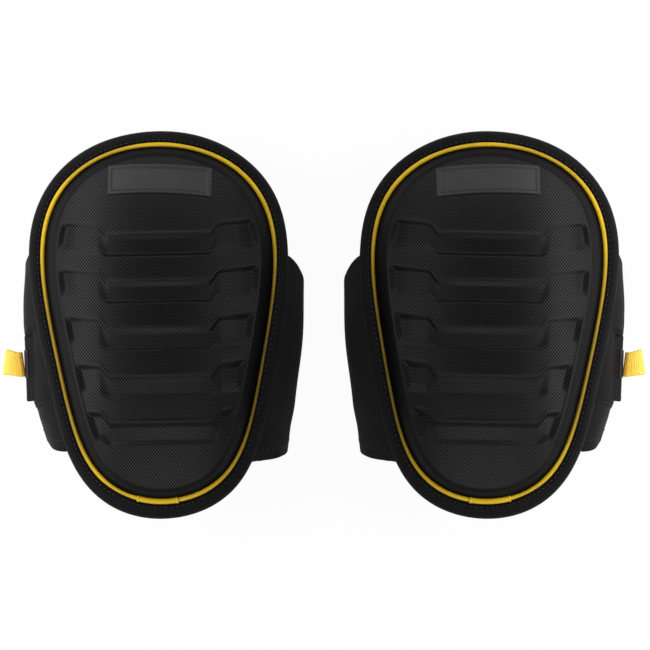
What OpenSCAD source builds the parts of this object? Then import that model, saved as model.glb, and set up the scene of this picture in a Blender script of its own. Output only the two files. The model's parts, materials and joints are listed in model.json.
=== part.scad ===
// A pair of strapped work knee pads, lying face up on their closed straps.
// X runs across the pair, Y from shin to thigh, Z up through the pads.
// The left pad is drawn about its own centre and the right one is its mirror.

/* [Pair] */
// distance between the two pad centres
pad_spacing = 216.4; // [210:0.2:260]
// lean of each pad, top outwards, in degrees
lean_out = 1.16; // [0:0.02:3]

/* [Cap outline] */
// length between the piping centres, top to bottom
cap_length = 235; // [225:0.5:250]
// width between the piping centres at a tenth of the length from the top
cap_width_a = 119; // [112:0.5:126]
// width at 35 hundredths of the length
cap_width_b = 153; // [146:0.5:156]
// width at 65 hundredths of the length
cap_width_c = 131; // [125:0.5:137]
// width at nine tenths of the length
cap_width_d = 93; // [86:0.5:100]

/* [Cap surface] */
// height of the middle of the pad's base surface over the table
crown_height = 85.5; // [84.5:0.5:96]
// radius of the base surface round the leg
bend_radius_x = 110; // [100:1:125]
// radius of the base surface along the leg
bend_radius_y = 300; // [250:5:400]
// height of the cap's face over the base surface
cap_rise = 8; // [6:0.1:11]
// run of the cap's steep edge
flank_run = 6.5; // [5.5:0.1:7.5]
// depth of the cap under the base surface
cap_under = 2; // [1.5:0.1:3]

/* [Recessed bands] */
// depth of the bands
band_depth = 2.5; // [1:0.1:3.5]
// height of the first band's top edge over the centre, at the sides
band_start = 64; // [62:0.1:66]
// pitch of the bands
band_pitch = 30.4; // [29:0.1:31]
// height of a band at the sides
band_side = 17.8; // [16:0.1:19]
// height of a band across the middle
band_middle = 11.6; // [10:0.1:13]
// drop of a band's lower edge at the middle
band_drop = 2; // [1:0.1:3]
// run of a band's sloping edge
band_slope = 2.4; // [1.5:0.1:3]
// half the width of the dipped middle and of the label
middle_half = 33; // [30:0.1:34]
// run of the slanted step at each end of the middle
middle_slant = 6.5; // [4:0.1:8]
// width of the raised frame beside the bands
frame_width = 3.3; // [2:0.1:5]

/* [Layers] */
// thickness of the foam under the cap
foam_thickness = 6; // [4:0.1:8]
// thickness of the lining
liner_thickness = 3; // [2:0.1:4]
// thickness of the gel cushion at its middle
gel_thickness = 7; // [5:0.1:9]
// thickness of the gel cushion at its edge
gel_edge = 1.5; // [1:0.1:3]

/* [Edge] */
// half the width of the piping across its flats
piping_half = 1.5; // [1.2:0.05:1.8]
// half the width of the piping's joining sleeve across its flats
sleeve_half = 2; // [1.9:0.05:2.4]
// width of the padded edge outside the piping, top and sides
border_side = 9; // [8:0.1:10]
// width of the padded edge at the bottom
border_bottom = 11.9; // [10:0.1:13]
// depth of the padded edge under the base surface
border_depth = 12; // [11.5:0.1:12.4]

/* [Label] */
// height of the label's top edge over the centre
label_top = 101; // [100.5:0.1:101.5]
// height of the label
label_height = 19; // [17:0.1:21]
// thickness of the label
label_thickness = 0.8; // [0.5:0.05:1.5]

/* [Side wings] */
// slant of the wings from the pad's length, in degrees
side_slant = 6; // [4:0.1:8]
// place along the pad where the wing reaches are measured
side_y = -20; // [-25:0.5:-15]
// thickness of the wings
wing_thickness = 4; // [3.4:0.1:4.4]
// drop of the wings' sewn upper face from the middle of the base surface
wing_drop = 43; // [43:0.1:44]
// reach of the inner wing's outer face from the pad's middle
inner_reach = 90.8; // [89.5:0.1:91.5]
// radius of the inner wing's upper bend
inner_top_radius = 16; // [15:0.1:17]
// radius of the inner wing's lower bend
inner_low_radius = 30; // [28:0.1:33]
// sweep of the inner wing's lower bend, in degrees
inner_low_sweep = 33; // [31:0.1:35]
// reach of the outer wing's outer face from the pad's middle
outer_reach = 84.3; // [83.5:0.1:85]
// radius of the outer wing's upper bend
outer_top_radius = 14; // [13:0.1:15]
// radius of the outer wing's lower bend
outer_low_radius = 40; // [38:0.1:42]
// sweep of the outer wing's lower bend, in degrees
outer_low_sweep = 29; // [27:0.1:29]
// reach of the inner wing's sewn edge down the pad, from where the reaches are measured
inner_sewn_low = 73; // [71:0.5:74]
// reach of the inner wing's sewn edge up the pad
inner_sewn_high = 69; // [66:0.5:70]
// reach down the pad where the inner wing is widest
inner_wide_low = 66; // [64.5:0.5:67.5]
// reach up the pad where the inner wing is widest
inner_wide_high = 47; // [44:0.5:50]
// reach down the pad where the inner wing folds into the rear strap
inner_fold_low = 58; // [55:0.5:60]
// reach up the pad where the inner wing folds into the rear strap
inner_fold_high = 28; // [25:0.5:32]
// reach of the outer wing's upper edge down the pad
outer_sewn_low = 65.5; // [64:0.5:67]
// reach of the outer wing's upper edge up the pad
outer_sewn_high = 69; // [66:0.5:70]
// reach down the pad where the outer wing is widest
outer_wide_low = 58; // [56:0.5:60]
// reach up the pad where the outer wing is widest
outer_wide_high = 57; // [54:0.5:60]
// reach of the outer wing down the pad at table level
outer_end_low = 52; // [49:0.5:55]
// reach of the outer wing up the pad at table level
outer_end_high = 40; // [37:0.5:43]
// reach of the sewn strips down the pad
seam_low = 44; // [40:0.5:48]
// reach of the sewn strips up the pad
seam_high = 56; // [52:0.5:58]
// height of the sewn strips before they are cut to the rim
seam_height = 9.5; // [9:0.1:10.5]
// width of the wings' turned hems
hem_width = 9; // [6:0.1:11]
// thickness of the hems
hem_thickness = 0.6; // [0.4:0.05:1]
// width of the strips that the wings are sewn to
seam_width = 7.5; // [6:0.1:8]

/* [Straps] */
// thickness of the strap behind the leg
strap_thickness = 4; // [3.6:0.1:4.4]
// thickness of the strap's free end
end_thickness = 3.2; // [2.6:0.1:3.6]
// width of the strap's free end
end_width = 44; // [42:0.5:47]
// place of the free end's middle along the wing
end_place = -8.5; // [-11:0.1:-7]
// sweep of the free end from its fold to the wing's widest place, in degrees
end_low_sweep = 26; // [25:0.1:26.5]
// sweep of the free end past the wing's widest place, in degrees
end_top_sweep = 8; // [7:0.1:9]
// thickness of the hook patch
hook_thickness = 1; // [0.8:0.05:1.2]
// thickness of the loop panel
loop_thickness = 1; // [0.8:0.05:1.2]
// reach of the loop panel below the free end
loop_margin = 5.5; // [0:0.5:7]
// glue line between a patch and its backing
glue_line = 0.05; // [0.02:0.01:0.1]
// clearance between faces that part or slide
touch_gap = 0.3; // [0.25:0.01:0.4]
// clearance at a strap's fold line
fold_gap = 0.4; // [0.3:0.01:0.6]

/* [Pull tab] */
// reach of the tab past its fold
tab_length = 11.4; // [9:0.1:14]
// width of the tab
tab_width = 16.4; // [14:0.1:18]
// thickness of the tab
tab_thickness = 1.8; // [1.2:0.1:2.4]
// place of the tab's middle along the wing
tab_place = -5.5; // [-8:0.1:-3]
// shift of the tab's free end up the pad
tab_skew = 3; // [0:0.1:4]
// extra reach of the tab's lower corner
tab_slant = 2.2; // [0:0.1:3]
// height of the tab over the wing's widest place
tab_rise = 2; // [1:0.1:3]
// thickness of the webbing patch that holds the tab
anchor_thickness = 1; // [0.8:0.05:1.4]

/* [Hidden] */

round_steps = 96;
fabric = [0.10, 0.10, 0.11];
neoprene = [0.07, 0.07, 0.08];
lining = [0.16, 0.16, 0.17];
yellow = [0.93, 0.72, 0.12];

half_length = cap_length / 2;
face_inset = piping_half + flank_run;
face_half = half_length - face_inset;
foam_low = cap_under + foam_thickness;
liner_low = foam_low + liner_thickness;
border_lip = 0.3;

// the outline's half width over the sine of its angle, a cubic through the four given widths
knots = [0.8, 0.3, -0.3, -0.8];
widths = [cap_width_a, cap_width_b, cap_width_c, cap_width_d];
function others(i) = [for (k = [0:3]) if (k != i) knots[k]];
function weight(i, c) =
  let (o = others(i), k = knots[i])
  (c - o[0]) * (c - o[1]) * (c - o[2]) / ((k - o[0]) * (k - o[1]) * (k - o[2]));
function knot_value(i) = widths[i] / 2 / sqrt(1 - knots[i] * knots[i]);
function spread(c) =
  knot_value(0) * weight(0, c) + knot_value(1) * weight(1, c)
  + knot_value(2) * weight(2, c) + knot_value(3) * weight(3, c);

function base(x, y) =
  crown_height - x * x / (2 * bend_radius_x) - y * y / (2 * bend_radius_y);
function rim(a) = [sin(a) * spread(cos(a)), half_length * cos(a)];
function rim_out(a) =
  let (t = rim(a + 0.5) - rim(a - 0.5))
  [-t[1], t[0]] / norm(t);
function rim_at(a, d, z) =
  let (p = rim(a), n = rim_out(a))
  [p[0] + n[0] * d, p[1] + n[1] * d, base(p[0], p[1]) + z];
function inside_at(a, f, z) =
  let (p = rim(a) * f)
  [p[0], p[1], base(p[0], p[1]) + z];
function border(a) =
  border_side + (border_bottom - border_side) * pow(max(0, -cos(a)), 3);

// rows of the cap's face as [height at the sides, height at the middle, depth of its recess]
function plain(y) = [y, y, 0];
function band_rows(k) =
  let (
    side_top = band_start - k * band_pitch,
    side_low = side_top - band_side,
    middle_low = side_low - band_drop,
    middle_top = middle_low + band_middle,
    h = band_slope / 2
  )
  [
    [side_top + h, middle_top + h, 0],
    [side_top - h, middle_top - h, band_depth],
    [side_low + h, middle_low + h, band_depth],
    [side_low - h, middle_low - h, 0]
  ];
label_low = label_top - label_height;
rows = concat(
  [plain(face_half * cos(9))],
  [plain(label_top), plain(label_top - label_height / 2), plain(label_low)],
  [plain((label_low + band_start) / 2)],
  [for (k = [0:4], r = band_rows(k)) r],
  [for (a = [139, 149, 158, 165, 171]) plain(face_half * cos(a))]
);
row_count = len(rows);
function row_angle(i) = acos(rows[i][0] / face_half);
function row_half(i) =
  let (a = row_angle(i))
  sin(a) * (spread(cos(a)) - face_inset);

// columns of a row, from its left end to its right end
function half_columns(i) =
  let (
    w = row_half(i),
    p = min(middle_half, 0.94 * w),
    rest = w - p,
    a = p + min(middle_slant, 0.3 * rest),
    c = w - min(frame_width + band_slope, 0.35 * rest),
    d = w - min(frame_width, 0.2 * rest)
  )
  [p / 2, p, a, (a + c) / 2, c, d, w];
function columns(i) =
  let (h = half_columns(i))
  concat([for (k = [6:-1:0]) -h[k]], [0], h);
column_count = 15;
first_middle = 5;
last_middle = 9;
first_recess = 2;
last_recess = 12;
function row_height(i, j) =
  (j >= first_middle && j <= last_middle) ? rows[i][1] : rows[i][0];
function row_depth(i, j) =
  (j >= first_recess && j <= last_recess) ? rows[i][2] : 0;
function face_point(i, j) =
  let (x = columns(i)[j], y = row_height(i, j))
  [x, y, base(x, y) + cap_rise - row_depth(i, j)];

// stations round the rim: top, down the right side, bottom, up the left side
right_side = [for (i = [0:row_count - 1]) row_angle(i)];
left_side = [for (i = [row_count - 1:-1:0]) -row_angle(i)];
stations = concat([0], right_side, [180], left_side);
station_count = len(stations);

function flat(lists) = [for (l = lists, p = l) p];
function ring(d, z) = [for (a = stations) rim_at(a, d, z)];
function inner_ring(f, z) = [for (a = stations) inside_at(a, f, z)];
// triangles between two rings that start at points a and b; an inward step is split the other way,
// so that faces that lie on each other match
function ring_faces(a, b, inward) = [
  for (k = [0:station_count - 1])
    let (n = (k + 1) % station_count)
    for (t = inward
      ? [[a + k, b + k, a + n], [b + k, b + n, a + n]]
      : [[a + k, b + k, b + n], [a + k, b + n, a + n]]) t
];

// a solid of rings between a top point and a bottom point
module ring_solid(top, rings, bottom) {
  n = station_count;
  last = 1 + (len(rings) - 1) * n;
  end = 1 + len(rings) * n;
  polyhedron(
    concat([top], flat(rings), [bottom]),
    concat(
      [for (k = [0:n - 1]) [0, 1 + k, 1 + (k + 1) % n]],
      flat([
        for (r = [0:len(rings) - 2])
          ring_faces(1 + r * n, 1 + (r + 1) * n, r == len(rings) - 2)
      ]),
      [for (k = [0:n - 1]) [last + k, end, last + (k + 1) % n]]
    ),
    convexity = 6
  );
}

// a section swept through stations, its points given as lists, one list per station
module swept(sections, closed) {
  n = len(sections);
  m = len(sections[0]);
  spans = closed ? n : n - 1;
  polyhedron(
    flat(sections),
    concat(
      [
        for (k = [0:spans - 1], s = [0:m - 1])
          let (
            a = k * m + s,
            b = ((k + 1) % n) * m + s,
            c = ((k + 1) % n) * m + (s + 1) % m,
            d = k * m + (s + 1) % m
          )
          for (t = [[a, d, c], [a, c, b]]) t
      ],
      closed ? [] : [for (s = [1:m - 2]) [0, s + 1, s]],
      closed ? [] : [for (s = [1:m - 2]) [(n - 1) * m, (n - 1) * m + s, (n - 1) * m + s + 1]]
    ),
    convexity = 6
  );
}

module cap() {
  m = column_count;
  n = row_count;
  grid = [for (i = [0:n - 1], j = [0:m - 1]) face_point(i, j)];
  top_pole = n * m;
  low_pole = top_pole + 1;
  first_ring = low_pole + 1;
  rings = [
    ring(-piping_half - flank_run * 0.3, cap_rise * 0.66),
    ring(-piping_half, 1),
    ring(-piping_half, -cap_under),
    inner_ring(0.5, -cap_under)
  ];
  under = first_ring + len(rings) * station_count;
  last_ring = under - station_count;
  edge = concat(
    [top_pole], [for (i = [0:n - 1]) i * m + m - 1],
    [low_pole], [for (i = [n - 1:-1:0]) i * m]
  );
  color(fabric)
    polyhedron(
      concat(
        grid,
        [[0, face_half, base(0, face_half) + cap_rise]],
        [[0, -face_half, base(0, face_half) + cap_rise]],
        flat(rings),
        [[0, 0, crown_height - cap_under]]
      ),
      concat(
        [
          for (i = [0:n - 2], j = [0:m - 2])
            let (a = i * m + j, d = a + m)
            for (t = [[a, a + 1, d + 1], [a, d + 1, d]]) t
        ],
        [for (j = [0:m - 2]) [top_pole, j + 1, j]],
        [for (j = [0:m - 2]) [low_pole, (n - 1) * m + j, (n - 1) * m + j + 1]],
        [
          for (k = [0:station_count - 1])
            let (q = (k + 1) % station_count, b = first_ring)
            for (t = [[edge[k], b + k, b + q], [edge[k], b + q, edge[q]]]) t
        ],
        flat([
          for (r = [0:len(rings) - 2])
            ring_faces(first_ring + r * station_count, first_ring + (r + 1) * station_count,
              r == len(rings) - 2)
        ]),
        [
          for (k = [0:station_count - 1])
            [last_ring + k, under, last_ring + (k + 1) % station_count]
        ]
      ),
      convexity = 8
    );
}

module layer(high, low) {
  ring_solid(
    [0, 0, crown_height - high],
    [
      inner_ring(0.5, -high),
      ring(-piping_half, -high),
      ring(-piping_half, -low),
      inner_ring(0.5, -low)
    ],
    [0, 0, crown_height - low]
  );
}

module foam_core() {
  color(lining)
    layer(cap_under, foam_low);
}

module knee_liner() {
  color(lining)
    layer(foam_low, liner_low);
}

module gel_cushion() {
  color(lining)
    ring_solid(
      [0, 0, crown_height - liner_low],
      [
        inner_ring(0.5, -liner_low),
        inner_ring(0.5, -liner_low - gel_edge),
        inner_ring(0.38, -liner_low - gel_thickness * 0.8)
      ],
      [0, 0, crown_height - liner_low - gel_thickness]
    );
}

// an eight-sided bead of half width h that touches the cap's edge and the padded edge
function bead(a, h) = [
  for (k = [0:7])
    let (t = 202.5 - 45 * k, r = h / cos(22.5))
    rim_at(a, h - piping_half + r * cos(t), h - border_lip + r * sin(t))
];

module piping() {
  color(yellow)
    swept([for (a = concat(left_side, [0], right_side)) bead(a, piping_half)], false);
}

module piping_sleeve() {
  last = right_side[row_count - 1];
  color(yellow)
    swept([for (a = [last, 180, 360 - last]) bead(a, sleeve_half)], false);
}

// section of the padded edge at a station, from an inner wall at distance d
function edge_section(a, d) =
  let (w = border(a))
  [
    rim_at(a, d, -border_lip),
    rim_at(a, w * 0.5, -border_lip),
    rim_at(a, w * 0.8, -1.6),
    rim_at(a, w, -border_depth * 0.42),
    rim_at(a, w * 0.9, -border_depth * 0.75),
    rim_at(a, w * 0.55, -border_depth),
    rim_at(a, d, -border_depth)
  ];

module edge_binding() {
  color(fabric)
    swept([for (a = stations) edge_section(a, -piping_half)], true);
}

// room that the rim takes up, which the sewn strips are cut to
module rim_room() {
  swept([for (a = stations) edge_section(a, -2 * seam_width)], true);
}

module label_patch() {
  across = last_middle - first_middle + 1;
  low = [for (i = [1:3], j = [first_middle:last_middle]) face_point(i, j)];
  high = [for (p = low) p + [0, 0, label_thickness]];
  count = len(low);
  loop = concat(
    [for (j = [0:across - 1]) j],
    [2 * across - 1],
    [for (j = [across - 1:-1:0]) 2 * across + j],
    [across]
  );
  color(fabric)
    polyhedron(
      concat(low, high),
      concat(
        [
          for (i = [0:1], j = [0:across - 2])
            let (a = count + i * across + j, d = a + across)
            for (t = [[a, a + 1, d + 1], [a, d + 1, d]]) t
        ],
        [
          for (i = [0:1], j = [0:across - 2])
            let (a = i * across + j, d = a + across)
            for (t = [[a, d + 1, a + 1], [a, d, d + 1]]) t
        ],
        [
          for (k = [0:len(loop) - 1])
            let (a = loop[k], b = loop[(k + 1) % len(loop)])
            for (t = [[a, b, b + count], [a, b + count, a + count]]) t
        ]
      )
    );
}

// the sides are drawn in a slanted frame: u outwards, v along the pad, z up
module inner_frame() {
  translate([inner_reach, side_y, 0])
    rotate([0, 0, -side_slant])
      translate([-inner_reach, 0, 0])
        children();
}

module outer_frame() {
  mirror([1, 0, 0])
    inner_frame()
      children();
}

function frame_point(u, v) = [
  inner_reach + (u - inner_reach) * cos(side_slant) + v * sin(side_slant),
  side_y - (u - inner_reach) * sin(side_slant) + v * cos(side_slant)
];
function mirrored(p) = [-p[0], p[1]];

// a bent strip about the line through u and z, from radius r0 to r1 and angle a0 to a1
module bent(u, z, r0, r1, a0, a1, v0, v1) {
  translate([u, v1, z])
    rotate([90, 0, 0])
      rotate([0, 0, a0])
        rotate_extrude(angle = a1 - a0, $fn = round_steps)
          translate([r0, 0])
            square([r1 - r0, v1 - v0]);
}

// the same strip from level down to an angle, started level so that it meets an upper bend
module bent_down(u, z, r0, r1, sweep, v0, v1) {
  translate([u, v1, z])
    rotate([90, 0, 0])
      mirror([0, 1, 0])
        rotate_extrude(angle = sweep, $fn = round_steps)
          translate([r0, 0])
            square([r1 - r0, v1 - v0]);
}

// a rounded lip on a strip's end, a little thinner and narrower than the strip
module rolled_edge(u, z, half, v0, v1) {
  translate([u, v1 - lip_ease, z])
    rotate([90, 0, 0])
      cylinder(r = half - lip_ease, h = v1 - v0 - 2 * lip_ease, $fn = round_steps);
}

module side_profile(points) {
  rotate([90, 0, 90])
    linear_extrude(2 * inner_reach)
      polygon(points);
}

wing_top = crown_height - wing_drop;
half_wing = wing_thickness / 2;
half_strap = strap_thickness / 2;
half_end = end_thickness / 2;

// inner side
inner_apex = wing_top - half_wing - inner_top_radius;
inner_mid = inner_reach - half_wing;
inner_top_u = inner_mid - inner_top_radius;
inner_low_u = inner_mid - inner_low_radius;
inner_fold_u = inner_low_u + inner_low_radius * cos(inner_low_sweep);
inner_fold_z = inner_apex - inner_low_radius * sin(inner_low_sweep);
inner_bend = (inner_fold_z - half_strap) / (1 - sin(inner_low_sweep));
inner_flat_u = inner_fold_u - inner_bend * cos(inner_low_sweep);
inner_sew_u = inner_top_u - seam_width;
inner_fold_v0 = -inner_fold_low;
inner_fold_v1 = inner_fold_high;
inner_profile = [
  [-inner_sewn_low, wing_top], [-inner_wide_low, inner_apex], [inner_fold_v0, 0],
  [inner_fold_v1, 0], [inner_fold_v1, inner_fold_z + half_wing + fold_gap],
  [inner_wide_high, inner_apex], [inner_sewn_high, wing_top]
];

// outer side
outer_apex = wing_top - half_wing - outer_top_radius;
outer_mid = outer_reach - half_wing;
outer_top_u = outer_mid - outer_top_radius;
outer_low_u = outer_mid - outer_low_radius;
loop_low = outer_low_radius + half_wing;
hook_low = loop_low + loop_thickness + touch_gap;
end_low = hook_low + hook_thickness;
end_high = end_low + end_thickness;
anchor_high = end_high + anchor_thickness;
end_mid = end_low + half_end;
end_fold_u = outer_low_u + end_mid * cos(end_low_sweep);
end_fold_z = outer_apex - end_mid * sin(end_low_sweep);
end_bend = (end_fold_z - half_strap) / (1 - sin(end_low_sweep));
outer_flat_u = end_fold_u - end_bend * cos(end_low_sweep);
end_v0 = end_place - end_width / 2;
end_v1 = end_place + end_width / 2;
outer_profile = [
  [-outer_sewn_low, wing_top], [-outer_wide_low, outer_apex], [-outer_end_low, 0],
  [outer_end_high, 0], [outer_wide_high, outer_apex], [outer_sewn_high, wing_top]
];
seam_roof = wing_top + seam_height;
wing_room = inner_sewn_low + hem_width;
stub_length = 3;
lip_ease = 0.3;

module inner_wing_bends(r0, r1, v0, v1) {
  bent(inner_top_u, inner_apex, inner_top_radius + r0, inner_top_radius + r1, 0, 90, v0, v1);
  bent_down(inner_low_u, inner_apex, inner_low_radius + r0, inner_low_radius + r1,
    inner_low_sweep, v0, v1);
}

module inner_wing() {
  color(neoprene)
    inner_frame()
      intersection() {
        union() {
          inner_wing_bends(-half_wing, half_wing, -wing_room, wing_room);
          translate([inner_sew_u, -wing_room, wing_top - wing_thickness])
            cube([seam_width, 2 * wing_room, wing_thickness]);
          rolled_edge(inner_fold_u, inner_fold_z, half_wing, -wing_room, wing_room);
        }
        side_profile(inner_profile);
      }
}

module inner_hem() {
  color(neoprene)
    inner_frame()
      intersection() {
        bent(inner_top_u, inner_apex, inner_top_radius + half_wing,
          inner_top_radius + half_wing + hem_thickness, 0, 75, -wing_room,
          hem_width - inner_wide_low);
        side_profile(inner_profile);
      }
}

module seam_strip(u, low, v0, v1) {
  translate([u, v0, low])
    cube([seam_width, v1 - v0, seam_roof - low]);
}

module inner_seam() {
  color(fabric)
    difference() {
      inner_frame()
        seam_strip(inner_sew_u, wing_top, -seam_low, seam_high);
      rim_room();
    }
}

module outer_seam() {
  color(fabric)
    difference() {
      outer_frame()
        seam_strip(outer_top_u - half_wing, wing_top + touch_gap, -seam_low, seam_high);
      rim_room();
    }
}

module outer_wing_bends(r0, r1, top_sweep, low_sweep, v0, v1) {
  bent(outer_top_u, outer_apex, outer_top_radius + r0, outer_top_radius + r1,
    0, top_sweep, v0, v1);
  bent_down(outer_low_u, outer_apex, outer_low_radius + r0, outer_low_radius + r1,
    low_sweep, v0, v1);
}

module outer_wing() {
  color(neoprene)
    outer_frame()
      intersection() {
        union() {
          outer_wing_bends(-half_wing, half_wing, 90, outer_low_sweep, -wing_room, wing_room);
          rolled_edge(outer_top_u, wing_top - half_wing, half_wing, -wing_room, wing_room);
        }
        side_profile(outer_profile);
      }
}

module outer_hem() {
  color(neoprene)
    outer_frame()
      intersection() {
        bent(outer_top_u, outer_apex, outer_top_radius + half_wing,
          outer_top_radius + half_wing + hem_thickness, 0, 75, -wing_room,
          hem_width - outer_wide_low);
        side_profile(outer_profile);
      }
}

module loop_panel() {
  color(fabric)
    outer_frame()
      outer_wing_bends(half_wing + glue_line, half_wing + loop_thickness, 65,
        outer_low_sweep - 3, end_v0 - loop_margin, end_v1);
}

// a strap's corner: a short flat stub, then a bend up to its fold line
module corner(bend, sweep, flat_u, gap, v0, v1) {
  bent(flat_u, half_strap + bend, bend - half_strap, bend + half_strap,
    -90, -sweep - gap / bend * 180 / PI, v0, v1);
  translate([flat_u - stub_length, v0, 0])
    cube([stub_length, v1 - v0, strap_thickness]);
}

module rear_strap() {
  color(neoprene)
    union() {
      linear_extrude(strap_thickness)
        polygon([
          frame_point(inner_flat_u - stub_length / 2, inner_fold_v0 + lip_ease),
          frame_point(inner_flat_u - stub_length / 2, inner_fold_v1 - lip_ease),
          mirrored(frame_point(outer_flat_u - stub_length / 2, end_v1 - lip_ease)),
          mirrored(frame_point(outer_flat_u - stub_length / 2, end_v0 + lip_ease))
        ]);
      inner_frame()
        corner(inner_bend, inner_low_sweep, inner_flat_u,
          half_wing + fold_gap, inner_fold_v0, inner_fold_v1);
      outer_frame()
        corner(end_bend, end_low_sweep, outer_flat_u,
          half_end + fold_gap, end_v0, end_v1);
    }
}

module strap_end() {
  color(neoprene)
    outer_frame()
      union() {
        bent(outer_low_u, outer_apex, end_low, end_high, -end_low_sweep, end_top_sweep,
          end_v0, end_v1);
        rolled_edge(end_fold_u, end_fold_z, half_end, end_v0, end_v1);
      }
}

module hook_patch() {
  color(fabric)
    outer_frame()
      bent(outer_low_u, outer_apex, hook_low, end_low - glue_line, 4 - end_low_sweep,
        end_top_sweep - 2, end_v0 + 3, end_v1 - 3);
}

module tab_anchor() {
  color(fabric)
    outer_frame()
      bent(outer_low_u, outer_apex, end_high + glue_line, anchor_high, -5, end_top_sweep - 2,
        tab_place - tab_width / 2 - 1, tab_place + tab_width / 2 + 1);
}

module pull_tab() {
  fold_u = outer_low_u + anchor_high + tab_thickness / 2 + touch_gap;
  fold_z = outer_apex + tab_rise;
  color(yellow)
    outer_frame()
      union() {
        rolled_edge(fold_u, fold_z, tab_thickness / 2, tab_place - tab_width / 2,
          tab_place + tab_width / 2);
        translate([fold_u, tab_place, fold_z - tab_thickness / 2])
          linear_extrude(tab_thickness)
            polygon([
              [0, -tab_width / 2], [tab_length + tab_slant, tab_skew - tab_width / 2],
              [tab_length - tab_slant, tab_skew + tab_width / 2], [0, tab_width / 2]
            ]);
      }
}

module left() {
  translate([-pad_spacing / 2, (border_bottom - border_side) / 2, 0])
    rotate([0, 0, lean_out])
      children();
}

module right() {
  mirror([1, 0, 0])
    left()
      children();
}

left() cap();  // left_cap
left() foam_core();  // left_foam_core
left() gel_cushion();  // left_gel_cushion
left() knee_liner();  // left_knee_liner
left() piping();  // left_piping
left() piping_sleeve();  // left_piping_sleeve
left() edge_binding();  // left_edge_binding
left() label_patch();  // left_label_patch
left() inner_seam();  // left_inner_seam
left() inner_wing();  // left_inner_wing
left() inner_hem();  // left_inner_hem
left() outer_seam();  // left_outer_seam
left() outer_wing();  // left_outer_wing
left() outer_hem();  // left_outer_hem
left() loop_panel();  // left_loop_panel
left() rear_strap();  // left_rear_strap
left() strap_end();  // left_strap_end
left() hook_patch();  // left_hook_patch
left() tab_anchor();  // left_tab_anchor
left() pull_tab();  // left_pull_tab
right() cap();  // right_cap
right() foam_core();  // right_foam_core
right() gel_cushion();  // right_gel_cushion
right() knee_liner();  // right_knee_liner
right() piping();  // right_piping
right() piping_sleeve();  // right_piping_sleeve
right() edge_binding();  // right_edge_binding
right() label_patch();  // right_label_patch
right() inner_seam();  // right_inner_seam
right() inner_wing();  // right_inner_wing
right() inner_hem();  // right_inner_hem
right() outer_seam();  // right_outer_seam
right() outer_wing();  // right_outer_wing
right() outer_hem();  // right_outer_hem
right() loop_panel();  // right_loop_panel
right() rear_strap();  // right_rear_strap
right() strap_end();  // right_strap_end
right() hook_patch();  // right_hook_patch
right() tab_anchor();  // right_tab_anchor
right() pull_tab();  // right_pull_tab
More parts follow.
